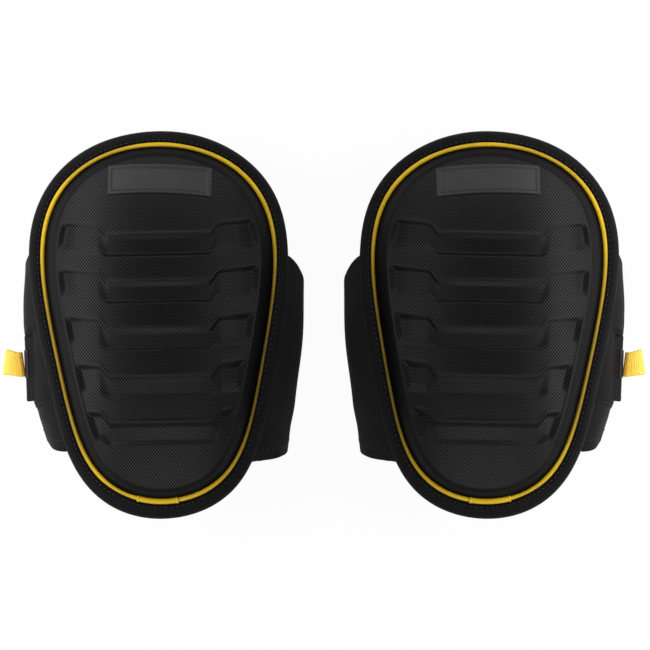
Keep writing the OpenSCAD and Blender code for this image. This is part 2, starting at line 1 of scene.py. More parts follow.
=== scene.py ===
import json
import bmesh
import bpy
import numpy as np
from mathutils import Vector
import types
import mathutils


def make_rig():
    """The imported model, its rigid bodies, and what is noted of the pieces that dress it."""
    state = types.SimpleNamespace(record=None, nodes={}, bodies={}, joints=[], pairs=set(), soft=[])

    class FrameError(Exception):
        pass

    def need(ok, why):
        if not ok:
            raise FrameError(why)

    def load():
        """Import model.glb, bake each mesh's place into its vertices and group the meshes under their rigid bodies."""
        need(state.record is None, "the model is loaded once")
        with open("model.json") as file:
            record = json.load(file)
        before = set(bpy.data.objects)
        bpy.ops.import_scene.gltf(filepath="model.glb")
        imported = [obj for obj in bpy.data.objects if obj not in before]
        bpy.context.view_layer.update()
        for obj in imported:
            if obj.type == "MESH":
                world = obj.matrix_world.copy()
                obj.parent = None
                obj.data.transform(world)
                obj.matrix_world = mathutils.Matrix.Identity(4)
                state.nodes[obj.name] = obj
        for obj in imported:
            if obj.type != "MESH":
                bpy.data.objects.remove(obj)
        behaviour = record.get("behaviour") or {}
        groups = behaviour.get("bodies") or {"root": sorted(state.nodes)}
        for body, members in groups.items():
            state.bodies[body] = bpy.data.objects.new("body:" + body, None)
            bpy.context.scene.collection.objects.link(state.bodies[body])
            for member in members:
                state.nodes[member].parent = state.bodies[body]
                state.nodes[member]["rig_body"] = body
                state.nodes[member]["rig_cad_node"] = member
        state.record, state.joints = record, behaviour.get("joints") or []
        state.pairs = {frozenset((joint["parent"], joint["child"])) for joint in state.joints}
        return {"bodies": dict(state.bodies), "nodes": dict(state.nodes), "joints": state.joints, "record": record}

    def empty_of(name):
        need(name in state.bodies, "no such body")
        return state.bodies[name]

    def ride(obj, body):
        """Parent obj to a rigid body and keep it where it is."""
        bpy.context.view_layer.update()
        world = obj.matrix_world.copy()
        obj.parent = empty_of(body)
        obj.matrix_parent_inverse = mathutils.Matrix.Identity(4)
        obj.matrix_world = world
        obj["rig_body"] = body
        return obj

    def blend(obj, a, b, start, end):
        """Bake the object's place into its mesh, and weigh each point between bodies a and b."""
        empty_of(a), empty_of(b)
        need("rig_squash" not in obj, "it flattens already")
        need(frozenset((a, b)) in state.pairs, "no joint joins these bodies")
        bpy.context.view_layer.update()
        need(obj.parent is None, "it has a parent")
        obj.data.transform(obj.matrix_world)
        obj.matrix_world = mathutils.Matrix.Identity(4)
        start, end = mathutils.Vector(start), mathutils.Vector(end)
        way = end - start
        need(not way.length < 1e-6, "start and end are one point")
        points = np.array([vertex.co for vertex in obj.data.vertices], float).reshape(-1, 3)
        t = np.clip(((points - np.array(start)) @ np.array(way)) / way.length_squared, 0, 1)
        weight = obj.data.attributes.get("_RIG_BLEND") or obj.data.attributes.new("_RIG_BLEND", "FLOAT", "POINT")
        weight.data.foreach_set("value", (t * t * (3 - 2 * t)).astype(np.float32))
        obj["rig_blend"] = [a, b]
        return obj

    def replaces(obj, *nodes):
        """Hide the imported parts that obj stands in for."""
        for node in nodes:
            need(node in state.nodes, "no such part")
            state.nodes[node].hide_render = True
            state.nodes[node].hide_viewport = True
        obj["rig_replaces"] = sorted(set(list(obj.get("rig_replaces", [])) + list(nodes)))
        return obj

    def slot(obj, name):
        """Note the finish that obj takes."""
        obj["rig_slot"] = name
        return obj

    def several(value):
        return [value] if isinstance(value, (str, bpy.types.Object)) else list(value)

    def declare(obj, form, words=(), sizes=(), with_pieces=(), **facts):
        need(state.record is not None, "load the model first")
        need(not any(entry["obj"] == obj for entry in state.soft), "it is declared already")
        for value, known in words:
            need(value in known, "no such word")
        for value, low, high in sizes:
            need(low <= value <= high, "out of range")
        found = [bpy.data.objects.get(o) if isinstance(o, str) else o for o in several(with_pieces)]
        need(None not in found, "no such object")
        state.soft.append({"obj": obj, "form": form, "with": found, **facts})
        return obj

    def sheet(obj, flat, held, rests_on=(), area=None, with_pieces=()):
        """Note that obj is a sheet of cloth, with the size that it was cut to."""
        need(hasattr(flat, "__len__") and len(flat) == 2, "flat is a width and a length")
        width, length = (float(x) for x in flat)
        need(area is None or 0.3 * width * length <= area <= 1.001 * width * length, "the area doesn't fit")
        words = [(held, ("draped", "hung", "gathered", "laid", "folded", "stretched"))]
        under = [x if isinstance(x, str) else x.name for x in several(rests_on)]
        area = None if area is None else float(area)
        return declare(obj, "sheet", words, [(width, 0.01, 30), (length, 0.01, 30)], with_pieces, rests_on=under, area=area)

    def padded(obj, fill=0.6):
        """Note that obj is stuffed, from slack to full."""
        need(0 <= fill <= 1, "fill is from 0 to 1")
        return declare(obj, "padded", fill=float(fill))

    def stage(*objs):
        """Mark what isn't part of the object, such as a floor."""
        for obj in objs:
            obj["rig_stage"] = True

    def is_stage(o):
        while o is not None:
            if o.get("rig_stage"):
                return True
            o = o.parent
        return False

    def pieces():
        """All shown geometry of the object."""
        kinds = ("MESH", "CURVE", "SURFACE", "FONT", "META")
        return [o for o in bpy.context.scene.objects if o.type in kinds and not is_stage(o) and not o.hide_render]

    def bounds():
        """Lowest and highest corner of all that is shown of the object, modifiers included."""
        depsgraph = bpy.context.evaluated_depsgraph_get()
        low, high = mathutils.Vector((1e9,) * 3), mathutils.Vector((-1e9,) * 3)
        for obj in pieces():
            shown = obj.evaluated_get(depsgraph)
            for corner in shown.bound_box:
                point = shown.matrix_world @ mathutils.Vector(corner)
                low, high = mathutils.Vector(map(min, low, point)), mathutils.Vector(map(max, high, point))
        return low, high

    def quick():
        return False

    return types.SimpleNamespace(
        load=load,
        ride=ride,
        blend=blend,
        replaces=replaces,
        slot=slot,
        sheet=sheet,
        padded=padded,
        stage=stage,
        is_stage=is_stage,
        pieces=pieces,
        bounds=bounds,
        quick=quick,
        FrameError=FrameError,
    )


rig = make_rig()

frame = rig.load()
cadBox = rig.bounds()
print("frame:", len(frame["nodes"]), "solids in", len(frame["bodies"]), "bodies")

# the pair: sizes in millimetres, the left pad drawn about its own centre
ways = {"left": -1, "right": 1}
pair = {"spacing": 216.4, "lean": 1.16, "shift": 1.45}
eggLine = {"halfLength": 117.5, "knots": (0.8, 0.3, -0.3, -0.8), "widths": (119, 153, 131, 93)}
crown = {"height": 85.5, "across": 110, "along": 300}
sideLine = {"reach": 90.8, "place": -20, "slant": 6}
clothUnit = 100    # millimetres of fabric to one unit of its map


def smooth(t):
    # slow start and slow end between 0 and 1
    t = np.clip(t, 0, 1)
    return t * t * (3 - 2 * t)


def mix(a, b, t):
    return a + (b - a) * t


def bell(x, width):
    # 1 at nought, falling away on both sides
    return np.exp(-(x / width) ** 2)


def unit(v):
    return v / np.linalg.norm(v, axis=-1, keepdims=True)


def baseHeight(x, y):
    # a saddle-free crown: falls with the square of the distance, faster across the leg than along it
    return crown["height"] - x * x / (2 * crown["across"]) - y * y / (2 * crown["along"])


def baseUnder(p):
    return baseHeight(p[..., 0], p[..., 1])


def rimPoint(a):
    # egg outline: the sine of the angle times a cubic through the four widths, the cosine times half the length
    c = np.cos(a)
    knots = np.array(eggLine["knots"])
    values = np.array(eggLine["widths"]) / 2 / np.sqrt(1 - knots**2)
    spread = sum(
        values[i] * np.prod([(c - k) / (knots[i] - k) for k in np.delete(knots, i)], axis=0)
        for i in range(len(knots))
    )
    return np.stack([np.sin(a) * spread, eggLine["halfLength"] * c], -1)


def rimOut(a):
    # outward normal of the outline, from a short chord turned a quarter
    t = rimPoint(a + 1e-4) - rimPoint(a - 1e-4)
    return unit(np.stack([-t[..., 1], t[..., 0]], -1))


def rimAt(a, d, z):
    # a point d outside the outline and z over the base surface under the outline
    a, d, z = np.broadcast_arrays(a, d, z)
    p = rimPoint(a)
    q = p + rimOut(a) * d[..., None]
    return np.concatenate([q, (baseUnder(p) + z)[..., None]], -1)


def sidePoint(u, v, z, outerSide):
    # a wing's own frame: u outward, v up the pad, turned by the wings' slant; the outer one is mirrored
    s = np.radians(sideLine["slant"])
    u, v, z = np.broadcast_arrays(u, v, z)
    du = u - sideLine["reach"]
    x = sideLine["reach"] + du * np.cos(s) + v * np.sin(s)
    y = sideLine["place"] - du * np.sin(s) + v * np.cos(s)
    return np.stack([-x if outerSide else x, y, z], -1)


def padPlace(p, side):
    # leans the pad, sets it beside the middle, and mirrors it for the right one; millimetres to metres
    t = np.radians(pair["lean"])
    x = -pair["spacing"] / 2 + p[..., 0] * np.cos(t) - p[..., 1] * np.sin(t)
    y = pair["shift"] + p[..., 0] * np.sin(t) + p[..., 1] * np.cos(t)
    return np.stack([-ways[side] * x, y, p[..., 2]], -1) / 1000


def gridFaces(rows, cols, around=False):
    # four-sided faces of a grid of points kept row by row
    r = np.arange(rows - 1)[:, None] * cols
    c = np.arange(cols if around else cols - 1)[None, :]
    n = (c + 1) % cols
    return np.stack([r + c, r + n, r + cols + n, r + cols + c], -1).reshape(-1, 4).tolist()


def tubeFaces(rows, cols):
    # a grid closed round, with a face at each end
    return gridFaces(rows, cols, True) + [list(range(cols)), list(range((rows - 1) * cols, rows * cols))]


def layCloth(mesh, cloth):
    # cloth is each point's place on its fabric in millimetres
    index = np.zeros(len(mesh.loops), np.int32)
    mesh.loops.foreach_get("vertex_index", index)
    layer = mesh.uv_layers.new(name="cloth")
    layer.data.foreach_set("uv", (cloth.reshape(-1, 2)[index] / clothUnit).astype(np.float32).ravel())


def makePiece(name, side, finish, points, faces, cloth, wear=None):
    # a closed smooth mesh with its fabric laid on
    mesh = bpy.data.meshes.new(name)
    mesh.from_pydata(padPlace(points.reshape(-1, 3), side).tolist(), [], faces)
    layCloth(mesh, cloth)
    # a point attribute that carries wear and painted shade
    if wear is not None:
        mesh.attributes.new("wear", "FLOAT", "POINT").data.foreach_set("value", wear.astype(np.float32).ravel())
    work = bmesh.new()
    work.from_mesh(mesh)
    bmesh.ops.remove_doubles(work, verts=work.verts, dist=2e-6)
    bmesh.ops.recalc_face_normals(work, faces=work.faces)
    work.to_mesh(mesh)
    work.free()
    mesh.polygons.foreach_set("use_smooth", np.ones(len(mesh.polygons), bool))
    mesh.update()
    piece = bpy.data.objects.new(name, mesh)
    bpy.context.scene.collection.objects.link(piece)
    mesh.materials.append(finish)
    return piece


def arcRun(u, z, radius, start, stop, count):
    # points on an arc about u, z, in degrees from the outward direction
    a = np.radians(np.linspace(start, stop, count))
    return np.column_stack([u + radius * np.cos(a), z + radius * np.sin(a)])


def lineRun(u0, z0, u1, z1, count):
    return np.linspace((u0, z0), (u1, z1), count)


def joined(*runs):
    return np.concatenate([runs[0]] + [r[1:] for r in runs[1:]])


def lengthAlong(line):
    return np.concatenate([[0], np.cumsum(np.linalg.norm(np.diff(line, axis=0), axis=1))])


def pointsAt(t, s, line):
    # places on a line whose points lie at the lengths s
    return np.stack([np.interp(t, s, column) for column in line.T], -1)


def evened(line, step):
    # the same line with points a step apart
    s = lengthAlong(line)
    return pointsAt(np.linspace(0, s[-1], max(8, int(s[-1] / step))), s, line)


def softened(values, width):
    # running mean with held ends, to round a bent line
    kernel = np.ones(2 * width + 1) / (2 * width + 1)
    return np.convolve(np.pad(values, width, mode="edge"), kernel, mode="valid")


# how a strip's ends and edges are rounded: degrees from and to, and the count of points
rounding = {"end": (78, 20, 4), "edge": (75, -75, 6)}


def softStrip(edgeA, edgeB, thick, across=40, bend=None, lift=None, roundness=None):
    # a strip between two edge lines: flat faces, round edges and round ends. bend(s, v) moves both faces
    # along the normal, lift(s, v) the upper face alone
    count = len(edgeA)
    thick = np.broadcast_to(np.asarray(thick, float), (count,))
    mid = (edgeA + edgeB) / 2
    half = np.linalg.norm(edgeB - edgeA, axis=1) / 2
    over = unit(edgeB - edgeA)
    along = unit(np.gradient(mid, axis=0))
    up = unit(np.cross(along, over))
    turn = np.radians(np.linspace(*rounding["end"]))
    row = np.concatenate([np.zeros(len(turn), int), np.arange(count), np.full(len(turn), count - 1)])
    rad = thick / 2 if roundness is None else np.full(count, roundness)
    slide = np.concatenate([-np.sin(turn), np.zeros(count), np.sin(turn[::-1])]) * rad[row]
    scale = np.concatenate([np.cos(turn), np.ones(count), np.cos(turn[::-1])])
    flat, none, one = np.linspace(-1, 1, across), np.zeros(across), np.ones(across)
    t = np.radians(np.linspace(*rounding["edge"]))
    f = np.concatenate([flat, np.ones(len(t)), flat[::-1], -np.ones(len(t))])
    g = np.concatenate([none, np.cos(t), none, -np.cos(t)])
    k = np.concatenate([one, np.sin(t), -one, -np.sin(t)])
    v = f * (half - rad)[row][:, None] + g * (rad[row] * scale)[:, None]
    s = np.broadcast_to((lengthAlong(mid)[row] + slide)[:, None], v.shape)
    h = k * (thick[row] / 2 * scale)[:, None]
    if bend is not None:
        h = h + bend(s, v)
    if lift is not None:
        h = h + lift(s, v) * np.clip(k, 0, 1) * scale[:, None]
    points = (mid[row] + along[row] * slide[:, None])[:, None]
    points = points + over[row][:, None] * v[..., None] + up[row][:, None] * h[..., None]
    return points, tubeFaces(*v.shape), np.dstack([s, v])


def stitchRow(line, up, pitch=3.4, share=0.68, radius=0.36, sink=0.12):
    # thread laid along a line: each stitch a short five-sided tube that dips at both ends
    steps, corners = 7, 5
    s = lengthAlong(line)
    count = max(1, int(s[-1] / pitch))
    t = np.linspace(0, 1, steps)
    place = (np.arange(count)[:, None] + (1 - share) / 2 + t * share) * (s[-1] / count)
    p = pointsAt(place, s, line)
    n = unit(pointsAt(place, s, up))
    side = np.cross(unit(np.gradient(p, axis=1)), n)
    arch = np.sin(np.pi * t)
    thick = radius * (0.35 + 0.65 * arch**0.5)
    p = p + n * ((radius * (1.6 * arch - 1) - sink)[None, :, None])
    a = np.linspace(0, 2 * np.pi, corners, endpoint=False)
    ring = np.cos(a)[:, None] * side[:, :, None] + np.sin(a)[:, None] * n[:, :, None]
    points = p[:, :, None] + ring * thick[None, :, None, None]
    one = tubeFaces(steps, corners)
    faces = [[i + steps * corners * k for i in face] for k in range(count) for face in one]
    cloth = np.stack(np.broadcast_arrays(place[..., None], a), -1)
    return points.reshape(-1, 3), faces, cloth.reshape(-1, 2)


def threads(*rows):
    # several stitch rows as one piece
    faces, first = [], 0
    for points, own, cloth in rows:
        faces += [[i + first for i in face] for face in own]
        first += len(points)
    return np.concatenate([r[0] for r in rows]), faces, np.concatenate([r[2] for r in rows])


# shader maths: a socket that adds its own Math nodes
class Wire:
    def __init__(self, finish, socket):
        self.finish, self.socket = finish, socket

    def math(self, operation, *others, flipped=False):
        values = [self, *others]
        if flipped:
            values.reverse()
        return self.finish.wire("ShaderNodeMath", {"operation": operation}, dict(enumerate(values)))

    def __add__(self, other): return self.math("ADD", other)
    def __radd__(self, other): return self.math("ADD", other)
    def __sub__(self, other): return self.math("SUBTRACT", other)
    def __rsub__(self, other): return self.math("SUBTRACT", other, flipped=True)
    def __mul__(self, other): return self.math("MULTIPLY", other)
    def __truediv__(self, other): return self.math("DIVIDE", other)
    def __pow__(self, other): return self.math("POWER", other)

    def wave(self, pitch, shift=None):
        # a sine, one turn to a pitch
        turn = self * (2 * np.pi / pitch)
        return (turn if shift is None else turn + shift).math("SINE")

    def ripple(self, pitch, shift=None):
        # the same between 0 and 1
        return self.wave(pitch, shift) * 0.5 + 0.5

    def about(self, middle, spread):
        # a noise brought to a middle and a spread
        return (self - 0.5) * spread + middle


class Finish:
    def __init__(self, name):
        self.material = bpy.data.materials.new(name)
        self.material.use_nodes = True
        self.tree = self.material.node_tree
        self.tree.nodes.clear()
        self.shader = self.node("ShaderNodeBsdfPrincipled")
        self.output = self.node("ShaderNodeOutputMaterial", {}, {"Surface": self.shader.outputs[0]})

    def plug(self, socket, value):
        # joins a wire or a socket on, or sets a plain value
        source = value.socket if isinstance(value, Wire) else value
        if isinstance(source, bpy.types.NodeSocket):
            self.tree.links.new(source, socket)
        else:
            socket.default_value = source

    def node(self, kind, settings=None, inputs=None):
        node = self.tree.nodes.new(kind)
        for key, value in (settings or {}).items():
            setattr(node, key, value)
        for key, value in (inputs or {}).items():
            self.plug(node.inputs[key], value)
        return node

    def wire(self, kind, settings=None, inputs=None, output=0):
        return Wire(self, self.node(kind, settings, inputs).outputs[output])

    def clothAxes(self):
        # place on the fabric in millimetres
        uv = self.node("ShaderNodeUVMap", {"uv_map": "cloth"})
        parts = self.node("ShaderNodeSeparateXYZ", {}, {0: uv.outputs[0]})
        return Wire(self, parts.outputs[0]) * clothUnit, Wire(self, parts.outputs[1]) * clothUnit

    # a point attribute: on the cap, wear on the ridges over nought and painted shade by the bead under nought; on the
    # piping, painted shade
    def wear(self):
        return self.wire("ShaderNodeAttribute", {"attribute_name": "wear"}, output="Fac")

    def texture(self, kind, settings, **inputs):
        place = self.node("ShaderNodeTexCoord").outputs["Object"]
        return self.wire(kind, settings, {"Vector": place, **inputs})

    def noise(self, scale, detail=3, rough=0.55):
        return self.texture("ShaderNodeTexNoise", {}, Scale=scale, Detail=detail, Roughness=rough)

    def cells(self, scale, feature="DISTANCE_TO_EDGE"):
        return self.texture("ShaderNodeTexVoronoi", {"feature": feature}, Scale=scale)

    def blend(self, factor, first, second):
        # from one colour to another, by a value
        settings = {"data_type": "RGBA", "clamp_factor": True}
        return self.node("ShaderNodeMix", settings, {0: factor, 6: first, 7: second}).outputs[2]

    def shades(self, factor, look):
        return self.blend(factor, (*look["dark"], 1), (*look["light"], 1))

    def bump(self, height, strength, distance):
        inputs = {"Strength": strength, "Distance": distance, "Height": height}
        return self.node("ShaderNodeBump", {}, inputs).outputs[0]

    def finishWith(self, colour, rough, normal=None, coat=None, **constants):
        inputs = {"Base Color": colour, "Roughness": rough, "Normal": normal, "Coat Weight": coat}
        inputs.update((key.replace("_", " "), value) for key, value in constants.items())
        for key, value in inputs.items():
            if value is not None:
                self.plug(self.shader.inputs[key], value)
        return self.material


def plainWeave(u, v, pitch):
    # height of a plain weave: each thread is round across, and dives under its neighbour along
    a, b = u.wave(2 * pitch[0]), v.wave(2 * pitch[1])
    over = (a * b * 1.6 + 0.5).math("MINIMUM", 1.0).math("MAXIMUM", 0.0)
    warp, weft = a.math("ABSOLUTE") ** 0.7, b.math("ABSOLUTE") ** 0.7
    return warp * over * (weft * 0.35 + 0.65) + weft * (1 - over) * (warp * 0.35 + 0.65), over


def wovenCapFinish():
    look = {"pitch": (1.0, 1.26), "dark": (0.0005, 0.0005, 0.0005), "light": (0.0255, 0.023, 0.0257), "worn": 0.2,
            "gloss": 0.42, "sheen": 0.19}
    f = Finish("ballistic weave")
    height, over = plainWeave(*f.clothAxes(), look["pitch"])
    patch, fibre, wear = f.noise(22, 4), f.noise(900, 2), f.wear()
    # the threads on top shine and get a painted highlight in their colour, the ones that dive under them get painted
    # shade, and so does the foot of the flank by the bead
    dots = height * over
    paintedFootShade = wear.math("MINIMUM", 0.0)
    paintedShadeScale = paintedFootShade * 0.8 + 1
    tone = (dots ** 1.7 * (patch * 0.6 + 0.5) + wear * look["worn"] * fibre + (fibre - 0.5) * 0.06) * paintedShadeScale
    rough = 0.42 - dots * 0.06 + (patch - 0.5) * 0.1 - paintedFootShade * 0.5
    gloss = (dots * look["gloss"] + look["sheen"]) * paintedShadeScale
    bump = f.bump(height * 0.35 + dots * 0.65 + fibre * 0.1, 1.0, 0.00011)
    return f.finishWith(f.shades(tone, look), rough, bump, gloss, Specular_IOR_Level=0.0, Coat_Roughness=0.42)


def edgeFabricFinish():
    look = {"pitch": 0.62, "dark": (0.0019, 0.0017, 0.0019), "light": (0.0077, 0.007, 0.0077)}
    f = Finish("edge fabric")
    u, v = f.clothAxes()
    twill = (u + v * 0.5).ripple(look["pitch"])
    rows = v.wave(look["pitch"] * 0.8) * 0.25
    patch, fuzz = f.noise(30, 4), f.noise(1400, 2)
    colour = f.shades(twill * 0.3 + patch * 0.5 + (fuzz - 0.5) * 0.5, look)
    return f.finishWith(colour, patch.about(0.7, 0.2), f.bump(twill + rows + fuzz * 0.5, 0.45, 0.00018),
                        Specular_IOR_Level=0.13, Sheen_Weight=0.02, Sheen_Roughness=0.4)


def neopreneFinish():
    look = {"pitch": 0.8, "dark": (0.002, 0.0016, 0.002), "light": (0.0079, 0.0065, 0.0079)}
    f = Finish("knit faced neoprene")
    u, v = f.clothAxes()
    # knit columns: small slanted loops, alternating left and right of each column
    column = v.wave(look["pitch"])
    loops = u.ripple(look["pitch"] * 0.75, column * 1.1)
    patch, fuzz, crease = f.noise(18, 5), f.noise(1600, 2), f.noise(60, 3)
    colour = f.shades(loops * 0.25 + patch * 0.6 + (fuzz - 0.5) * 0.6, look)
    height = loops * 0.6 + column.math("ABSOLUTE") * 0.4 + fuzz * 0.6 + crease * 1.2
    return f.finishWith(colour, patch.about(0.74, 0.25), f.bump(height, 0.4, 0.00022),
                        Specular_IOR_Level=0.21, Sheen_Weight=0.025, Sheen_Roughness=0.5)


def beadFinish():
    look = {"dark": (0.58, 0.33, 0.006), "light": (0.85, 0.57, 0.018), "soiled": (0.11, 0.062, 0.01)}
    f = Finish("yellow bead cover")
    u, v = f.clothAxes()
    wrap = (u + v * 0.7).ripple(0.75)
    patch, grain = f.noise(45, 3), f.noise(1100, 2)
    colour = f.shades(patch * 0.75 + wrap * 0.3 + (grain - 0.5) * 0.3 + 0.12, look)
    # painted shade: dull and brown where the cord is pinched in between the cap and the edge
    colour = f.blend(f.wear() * (patch * 0.3 + 0.75), colour, (*look["soiled"], 1))
    return f.finishWith(colour, patch.about(0.44, 0.2), f.bump(wrap * 0.7 + grain * 0.5, 0.3, 0.00016),
                        Specular_IOR_Level=0.25, Sheen_Weight=0.02)


def webbingFinish(name, dark, light, paintedLitEnd=None):
    # the last colour is painted light: the lighter yellow that all threads are near to 17 mm along, so the tab has
    # painted shade by the strap and painted light at its free end
    f = Finish(name)
    u, v = f.clothAxes()
    rib = u.ripple(1.5)
    zig = u.ripple(1.5, v.wave(2.2) * 1.8)
    patch, fibre = f.noise(60, 3), f.noise(1300, 2)
    colour = f.shades(zig * 0.4 + patch * 0.4 + (fibre - 0.5) * 0.5 + 0.05, {"dark": dark, "light": light})
    if paintedLitEnd:
        colour = f.blend((u - 5.0) / 12.0 * (zig * 0.3 + 0.65), colour, (*paintedLitEnd, 1))
    return f.finishWith(colour, patch.about(0.58, 0.2), f.bump(zig * 0.7 + rib * 0.4 + fibre * 0.4, 0.6, 0.0003),
                        Specular_IOR_Level=0.4, Sheen_Weight=0.1)


def labelFinish():
    look = {"dark": (0.007, 0.0068, 0.007), "light": (0.02, 0.0196, 0.02)}
    f = Finish("moulded rubber patch")
    grain, patch, scuff = f.cells(1500), f.noise(40, 4), f.noise(260, 4, 0.7)
    return f.finishWith(f.shades(patch * 0.6 + scuff * 0.3, look), scuff.about(0.5, 0.35),
                        f.bump(grain + scuff * 0.4, 0.2, 0.00012), Specular_IOR_Level=0.42)


def loopPileFinish():
    look = {"dark": (0.002, 0.0019, 0.0021), "light": (0.012, 0.0115, 0.0122)}
    f = Finish("brushed loop pile")
    curl, tuft, patch = f.noise(1500, 4, 0.75), f.cells(900, "F1"), f.noise(50, 3)
    return f.finishWith(f.shades(curl * 0.7 + patch * 0.3 - 0.1, look), patch.about(0.9, 0.1),
                        f.bump(curl + tuft * 0.6, 0.9, 0.0005),
                        Specular_IOR_Level=0.2, Sheen_Weight=0.02, Sheen_Roughness=0.6)


def hookFinish():
    look = {"dark": (0.004, 0.004, 0.0042), "light": (0.03, 0.03, 0.031)}
    f = Finish("moulded hooks")
    u, v = f.clothAxes()
    stems = u.wave(1.1) * v.wave(0.9) * 0.5 + 0.5
    grain = f.noise(700, 2)
    return f.finishWith(f.shades(stems**2.0, look), grain.about(0.42, 0.3),
                        f.bump(stems**1.5 + grain * 0.2, 0.9, 0.0006), Specular_IOR_Level=0.5)


def foamFinish():
    look = {"dark": (0.012, 0.012, 0.0125), "light": (0.04, 0.04, 0.041)}
    f = Finish("closed cell foam")
    cells, patch = f.cells(700), f.noise(60, 3)
    return f.finishWith(f.shades(cells * 1.5 + patch * 0.3, look), patch.about(0.85, 0.15),
                        f.bump(cells, 0.6, 0.0004), Specular_IOR_Level=0.3)


def liningFinish():
    look = {"pitch": 1.6, "dark": (0.009, 0.009, 0.0095), "light": (0.036, 0.0355, 0.037)}
    f = Finish("brushed lining")
    u, v = f.clothAxes()
    net = u.wave(look["pitch"]) * v.wave(look["pitch"]) * 0.5 + 0.5
    patch, nap = f.noise(25, 4), f.noise(1200, 3, 0.7)
    colour = f.shades(net * 0.35 + patch * 0.35 + (nap - 0.5) * 0.7 + 0.1, look)
    return f.finishWith(colour, patch.about(0.82, 0.2), f.bump(net * 0.6 + nap, 0.6, 0.0003),
                        Specular_IOR_Level=0.3, Sheen_Weight=0.2, Sheen_Roughness=0.5)


def threadFinish():
    look = {"dark": (0.004, 0.0038, 0.004), "light": (0.018, 0.0175, 0.018)}
    f = Finish("twisted thread")
    u, v = f.clothAxes()
    twist = (u * 9.0 + v * 2.0).math("SINE") * 0.5 + 0.5
    patch = f.noise(300, 2)
    return f.finishWith(f.shades(twist * 0.7 + patch * 0.3, look), patch.about(0.5, 0.2),
                        f.bump(twist, 0.5, 0.0001), Specular_IOR_Level=0.5)


wovenCap = wovenCapFinish()
edgeFabric = edgeFabricFinish()
neoprene = neopreneFinish()
yellowBead = beadFinish()
blackWebbing = webbingFinish("black webbing", (0.003, 0.0029, 0.0031), (0.014, 0.0136, 0.0144))
# the third colour is the painted light of the tab's free end; the orange by the strap is painted shade
yellowWebbing = webbingFinish("yellow webbing", (0.70, 0.34, 0.012), (0.92, 0.46, 0.02), (1.0, 0.86, 0.13))
labelRubber = labelFinish()
loopPile = loopPileFinish()
hookPlastic = hookFinish()
darkFoam = foamFinish()
lining = liningFinish()
thread = threadFinish()
print("finishes:", len(bpy.data.materials))


# the cap: a woven cover pressed over ribs. Two values together are for a band's ends and its middle
cap = {"rise": 8.0, "flank": 6.8, "rimRun": 9.0, "rimRows": 26, "inset": 0.6, "under": 2.0, "angles": 440, "rows": 150,
       "bands": 5, "bandStart": 64.5, "bandPitch": 30.9, "bandSide": 18.8, "bandMiddle": 14.5, "bandDrop": 2.0,
       "depth": (1.25, 2.5), "endDepth": 1.7, "shoal": 0.4, "lip": 0.3, "edgeRun": (2.6, 3.7), "softRun": (5.0, 2.4),
       "middleHalf": 33.0, "middleSlant": 7.5, "frame": 3.2, "endRun": 5.0, "tilt": 0.1, "tiltFrom": 36,
       "ridge": 0.45, "rimRidge": 0.5}


def capRelief(x, y, inside):
    # how far the cover dips: five bands, each lower across the middle; the ends are deep at the top and soft at the
    # bottom, the middle slopes down to a crisp lower edge. Then wear and painted shade: over 0 for wear on the ridges,
    # under 0 for painted shade by the bead
    middle = 1 - smooth((np.abs(x) - cap["middleHalf"]) / cap["middleSlant"])
    lean = cap["tilt"] * np.clip(np.abs(x) - cap["tiltFrom"], 0, None)
    inFrame = smooth((inside - cap["flank"] - cap["frame"]) / cap["endRun"])
    crisp, gentle = mix(*cap["edgeRun"], middle), mix(*cap["softRun"], middle)
    dip, ridge = 0, 0
    for k in range(cap["bands"]):
        sideTop = cap["bandStart"] - cap["bandPitch"] * k
        sideLow = sideTop - cap["bandSide"]
        midLow = sideLow - cap["bandDrop"]
        top = mix(sideTop, midLow + cap["bandMiddle"], middle) + lean
        low = mix(sideLow, midLow, middle) + lean
        down = np.clip((top - y) / (top - low), 0, 1)
        wedge = mix(1 - cap["shoal"] * down, mix(cap["lip"], 1, down), middle)
        dip = dip + wedge * smooth((top - y) / crisp) * smooth((y - low) / gentle)
        ridge = ridge + bell(y - top - 0.6, 1.1) + 0.6 * (1 - middle) * bell(y - low + 0.6, 1.4)
    ridge = ridge * inFrame
    deep = mix(*cap["depth"], middle) + cap["endDepth"] * smooth((24 - inside) / 14)
    rimRidge = bell(inside - cap["flank"] - 2.6, 1.3) * smooth((70 - y) / 12) * smooth((y + 84) / 12)
    dip = deep * dip * inFrame - cap["ridge"] * ridge - cap["rimRidge"] * rimRidge
    return dip, np.clip(ridge + rimRidge, 0, 1) - bell(inside - cap["inset"], 3.2)


def capFlank(inside):
    # height of the cover over the base by its distance inside the piping: steep, then rounding over
    t = np.clip((inside - 1.0) / cap["flank"], 0, 1)
    return mix(0.4, cap["rise"], 1 - (1 - t) ** 2.6)


